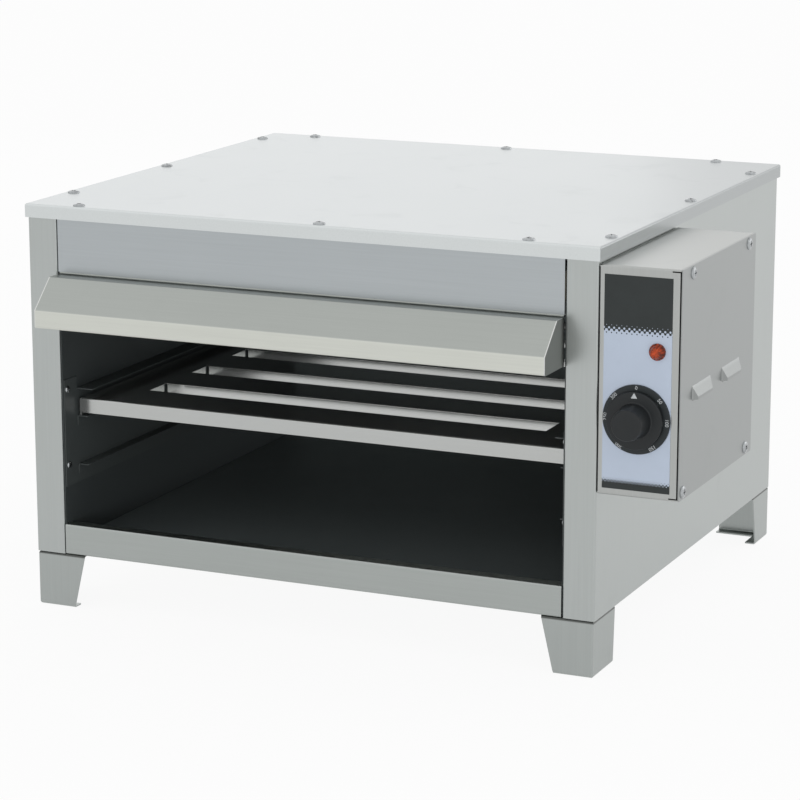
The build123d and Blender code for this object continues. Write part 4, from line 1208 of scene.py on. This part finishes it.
@dataclass
class ControlPanel:
    """Printed label, numbered dial, knob and pilot lamp on the front of the control box."""

    film: PrintedFilm = PrintedFilm()
    lens: LampLens = LampLens()
    ink: PrintInk = PrintInk()
    dial_plastic: MouldedPlastic = MouldedPlastic((0.016, 0.02, 0.0215), 0.45)
    knob_plastic: MouldedPlastic = MouldedPlastic((0.012, 0.014, 0.015), 0.4)
    numbers: tuple[tuple[str, float], ...] = (
        ("0", 0.0),
        ("50", 49.5),
        ("100", 90.5),
        ("150", 147.0),
        ("200", 212.5),
        ("250", 271.0),
        ("300", 313.0),
    )
    number_radius: float = 0.0297
    number_size: float = 0.0049
    print_depth: float = 0.00004
    skirt_radius: float = 0.027
    skirt_depth: float = 0.0055
    grip_base: float = 0.0165
    grip_top: float = 0.0145
    hollow_radius: float = 0.0095
    hollow_depth: float = 0.0043
    bore_radius: float = 0.00305
    bore_depth: float = 0.0196
    crown_share: float = 0.6
    crown_drop: float = 0.0001
    crown_round: float = 0.002
    shoulder_drop: float = 0.0005
    shoulder_round: float = 0.0022
    root_round: float = 0.0014
    skirt_round: float = 0.0009
    back_round: float = 0.0004
    pointer_inset: float = 0.0005
    pointer_length: float = 0.0053
    pointer_width: float = 0.006
    segments: int = 128

    def build(self, frame: Frame) -> None:
        """Dress the panel and make its print and knob.

        Args:
            frame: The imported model.
        """
        frame.dress(("label_plate",), self.film.make("label_print", *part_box("label_plate")))
        frame.dress(("dial_ring",), self.dial_plastic.make("dial_plastic"))
        frame.dress(("pilot_lamp_lens",), self.lens.make("lamp_facets", *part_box("pilot_lamp_lens")))
        ink = self.ink.make("white_ink")
        self.add_numbers(ink)
        self.add_knob(ink)

    def add_numbers(self, ink: bpy.types.Material) -> None:
        """Print the temperatures round the dial.

        Args:
            ink: Material of the print.
        """
        low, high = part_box("dial_ring")
        centre = Vector(((low.x + high.x) / 2, low.y - self.print_depth, (low.z + high.z) / 2))
        shape = bmesh.new()
        for word, angle in self.numbers:
            text = bpy.data.curves.new("dial_number", "FONT")
            text.body = word
            text.size = self.number_size
            text.align_x = "CENTER"
            text.align_y = "CENTER"
            text.extrude = self.print_depth
            holder = bpy.data.objects.new("dial_number", text)
            bpy.context.scene.collection.objects.link(holder)
            mesh = evaluated_mesh(holder)
            bpy.data.objects.remove(holder)
            stand = Matrix.Translation(centre) @ Matrix.Rotation(math.pi / 2, 4, "X")
            turn = Matrix.Rotation(-math.radians(angle), 4, "Z")
            mesh.transform(stand @ turn @ Matrix.Translation((0.0, self.number_radius, 0.0)))
            shape.from_mesh(mesh)
        bmesh.ops.remove_doubles(shape, verts=shape.verts, dist=MERGE_DISTANCE)
        mesh = bpy.data.meshes.new("dial_numbers")
        shape.to_mesh(mesh)
        shape.free()
        mesh.materials.append(ink)
        add_piece("dial_numbers", mesh, "cabinet", "label_film")

    def add_knob(self, ink: bpy.types.Material) -> None:
        """Turn the knob, hollow behind, and print its pointer.

        Args:
            ink: Material of the print.
        """
        low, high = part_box("knob")
        back = Vector(((low.x + high.x) / 2, high.y, (low.z + high.z) / 2))
        height = high.y - low.y
        outline = eased(
            [
                (0.0, height, 0.0),
                (self.grip_top * self.crown_share, height - self.crown_drop, self.crown_round),
                (self.grip_top, height - self.shoulder_drop, self.shoulder_round),
                (self.grip_base, self.skirt_depth, self.root_round),
                (self.skirt_radius, self.skirt_depth, self.skirt_round),
                (self.skirt_radius, 0.0, self.back_round),
                (self.hollow_radius, 0.0, self.back_round),
                (self.hollow_radius, self.hollow_depth, 0.0),
                (self.bore_radius, self.hollow_depth, 0.0),
                (self.bore_radius, self.bore_depth, 0.0),
                (0.0, self.bore_depth, 0.0),
            ]
        )
        knob = lathe("knob_turned", outline, back, self.segments)
        knob.materials.append(self.knob_plastic.make("knob_plastic"))
        add_piece("knob_turned", knob, "knob", "knob_black", "knob")
        tip = self.skirt_radius - self.pointer_inset
        foot = tip - self.pointer_length
        corners = [(0.0, tip), (self.pointer_width / 2, foot), (-self.pointer_width / 2, foot)]
        face = self.skirt_depth
        levels = (face - self.print_depth, face + self.print_depth)
        verts = [back + Vector((x, -level, z)) for level in levels for x, z in corners]
        faces = [(0, 1, 2), (5, 4, 3), (0, 3, 4, 1), (1, 4, 5, 2), (2, 5, 3, 0)]
        pointer = bpy.data.meshes.new("knob_pointer")
        pointer.from_pydata(verts, [], faces)
        pointer.materials.append(ink)
        add_piece("knob_pointer", pointer, "knob", "label_film")


@dataclass
class HiddenWorks:
    """Insulation, wiring and the electrical pieces behind the panels."""

    wool: FibreMat = FibreMat((0.74, 0.7, 0.58), (0.5, 0.46, 0.36))
    sleeve: FibreMat = FibreMat((0.66, 0.63, 0.56), (0.42, 0.4, 0.35), 2400.0, 0.0001)
    switch: MouldedPlastic = MouldedPlastic((0.12, 0.1, 0.085), 0.5)
    block: MouldedPlastic = MouldedPlastic((0.62, 0.58, 0.5), 0.48, 1200.0)
    rubber: MouldedPlastic = MouldedPlastic((0.02, 0.02, 0.021), 0.62, 1400.0)
    nylon: MouldedPlastic = MouldedPlastic((0.026, 0.027, 0.029), 0.4, 2000.0)
    copper: PlainMetal = PlainMetal((0.72, 0.36, 0.2), (0.35, 0.17, 0.1), 0.3, 180.0)
    plated: PlainMetal = PlainMetal((0.55, 0.55, 0.53), (0.34, 0.33, 0.3), 0.32, 200.0)

    def build(self, frame: Frame) -> None:
        """Dress what the panels hide.

        Args:
            frame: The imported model.
        """
        slabs = [f"{side}_insulation" for side in ("left", "right", "rear", "top")]
        frame.dress(slabs, self.wool.make("mineral_wool"))
        frame.dress(("wiring",), self.sleeve.make("wire_sleeve_weave"))
        frame.dress(("thermostat", "pilot_lamp_body"), self.switch.make("switch_plastic"))
        frame.dress(("terminal_block",), self.block.make("terminal_steatite"))
        frame.dress(("grommet",), self.rubber.make("grommet_rubber_finish"))
        frame.dress(("cable_gland",), self.nylon.make("gland_nylon_finish"))
        frame.dress(("capillary",), self.copper.make("capillary_copper_finish"))
        small = ("thermostat_nut", "pilot_lamp_nut", "spindle", "bulb_clips", "control_box_screws")
        frame.dress(small, self.plated.make("plated_steel"))


@dataclass(frozen=True)
class SoftBox:
    """One large soft lamp."""

    name: str
    place: tuple[float, float, float]
    width: float
    height: float
    power: float
    mirrored: bool = True


@dataclass
class Studio:
    """White floor and surroundings, soft lamps, and the camera."""

    camera_place: tuple[float, float, float] = (1.1765, -2.73425, 0.88256)
    camera_tilt: float = math.radians(90 - 13.08)
    camera_roll: float = math.radians(-0.06)
    camera_turn: float = math.radians(24.18)
    lens: float = 133.4
    sensor: float = 36.0
    floor_half: float = 12.0
    floor_drop: float = 0.0002
    floor_white: float = 0.92
    floor_gloss: float = 0.65
    floor_dull: Colour = (0.86, 0.86, 0.86)
    floor_pale: Colour = (0.9, 0.9, 0.9)
    paper_scale: float = 40.0
    sky_level: float = 0.8
    target: tuple[float, float, float] = (0.0, 0.0, 0.25)
    lamps: tuple[SoftBox, ...] = (
        SoftBox("lamp_behind", (-2.0, 2.5, 1.2), 2.8, 1.2, 3.0),
        SoftBox("lamp_right", (2.2, 2.2, 0.9), 1.6, 1.4, 7.5),
        SoftBox("lamp_front", (1.2, -3.2, 0.4), 1.8, 0.6, 36.0, mirrored=False),
    )

    def build(self) -> None:
        """Set the whole studio."""
        bpy.context.scene.view_settings.view_transform = "Standard"
        self.add_floor()
        self.add_sky()
        for lamp in self.lamps:
            self.add_lamp(lamp)
        self.add_camera()

    def add_floor(self) -> None:
        """Lay the floor, white to the eye, with the shadow of the grill on it."""
        half = self.floor_half
        mesh = bpy.data.meshes.new("studio_floor")
        corners = [(-half, -half), (half, -half), (half, half), (-half, half)]
        mesh.from_pydata([(x, y, -self.floor_drop) for x, y in corners], [], [(0, 1, 2, 3)])
        paint = Paint("studio_white")
        tone = paint.mix(paint.noise(self.paper_scale, 2.0), self.floor_dull, self.floor_pale)
        matt = paint.read("ShaderNodeBsdfDiffuse", inputs={"Color": tone})
        glow = paint.read("ShaderNodeEmission", inputs={"Color": WHITE, "Strength": 1.0})
        white = paint.rays("Camera") * self.floor_white + paint.rays("Glossy") * self.floor_gloss
        shader = paint.read("ShaderNodeMixShader", inputs={0: white, 1: matt, 2: glow})
        paint.add("ShaderNodeOutputMaterial", inputs={"Surface": shader})
        mesh.materials.append(paint.material)
        floor = bpy.data.objects.new("studio_floor", mesh)
        bpy.context.scene.collection.objects.link(floor)
        floor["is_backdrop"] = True

    def add_sky(self) -> None:
        """Surround the grill with white, dimmer where it only lights."""
        world = bpy.data.worlds.new("studio_sky")
        world.use_nodes = True
        bpy.context.scene.world = world
        board = Board(world.node_tree)
        dim = board.read("ShaderNodeBackground", inputs={"Color": WHITE, "Strength": self.sky_level})
        full = board.read("ShaderNodeBackground", inputs={"Color": WHITE, "Strength": 1.0})
        shown = board.rays("Camera", "Glossy", "Transmission")
        shader = board.read("ShaderNodeMixShader", inputs={0: shown, 1: dim, 2: full})
        board.add("ShaderNodeOutputWorld", inputs={"Surface": shader})

    def add_lamp(self, box: SoftBox) -> None:
        """Hang one soft lamp, aimed at the middle of the grill.

        Args:
            box: The lamp's place, size and power.
        """
        light = bpy.data.lights.new(box.name, "AREA")
        light.shape = "RECTANGLE"
        light.size, light.size_y = box.width, box.height
        light.energy = box.power
        lamp = bpy.data.objects.new(box.name, light)
        lamp.location = box.place
        aim = Vector(self.target) - lamp.location
        lamp.rotation_euler = aim.to_track_quat("-Z", "Y").to_euler()
        lamp.visible_camera = False
        lamp.visible_glossy = box.mirrored
        bpy.context.scene.collection.objects.link(lamp)

    def add_camera(self) -> None:
        """Stand the camera at the photograph's place."""
        data = bpy.data.cameras.new("studio_camera")
        data.lens, data.sensor_width = self.lens, self.sensor
        camera = bpy.data.objects.new("studio_camera", data)
        camera.location = self.camera_place
        turn = Matrix.Rotation(self.camera_turn, 4, "Z") @ Matrix.Rotation(self.camera_tilt, 4, "X")
        camera.rotation_euler = (turn @ Matrix.Rotation(self.camera_roll, 4, "Z")).to_euler()
        bpy.context.scene.collection.objects.link(camera)
        bpy.context.scene.camera = camera


def main() -> None:
    """Build the sub-assemblies in order, then the studio."""
    logging.basicConfig(level=logging.INFO, format="%(name)s: %(message)s")
    frame = Frame()
    for assembly in (Casing(), CookingSpace(), RackAndRunners(), HiddenWorks(), ControlPanel(), Fasteners()):
        assembly.build(frame)
    Studio().build()


if __name__ == "__main__":
    main()
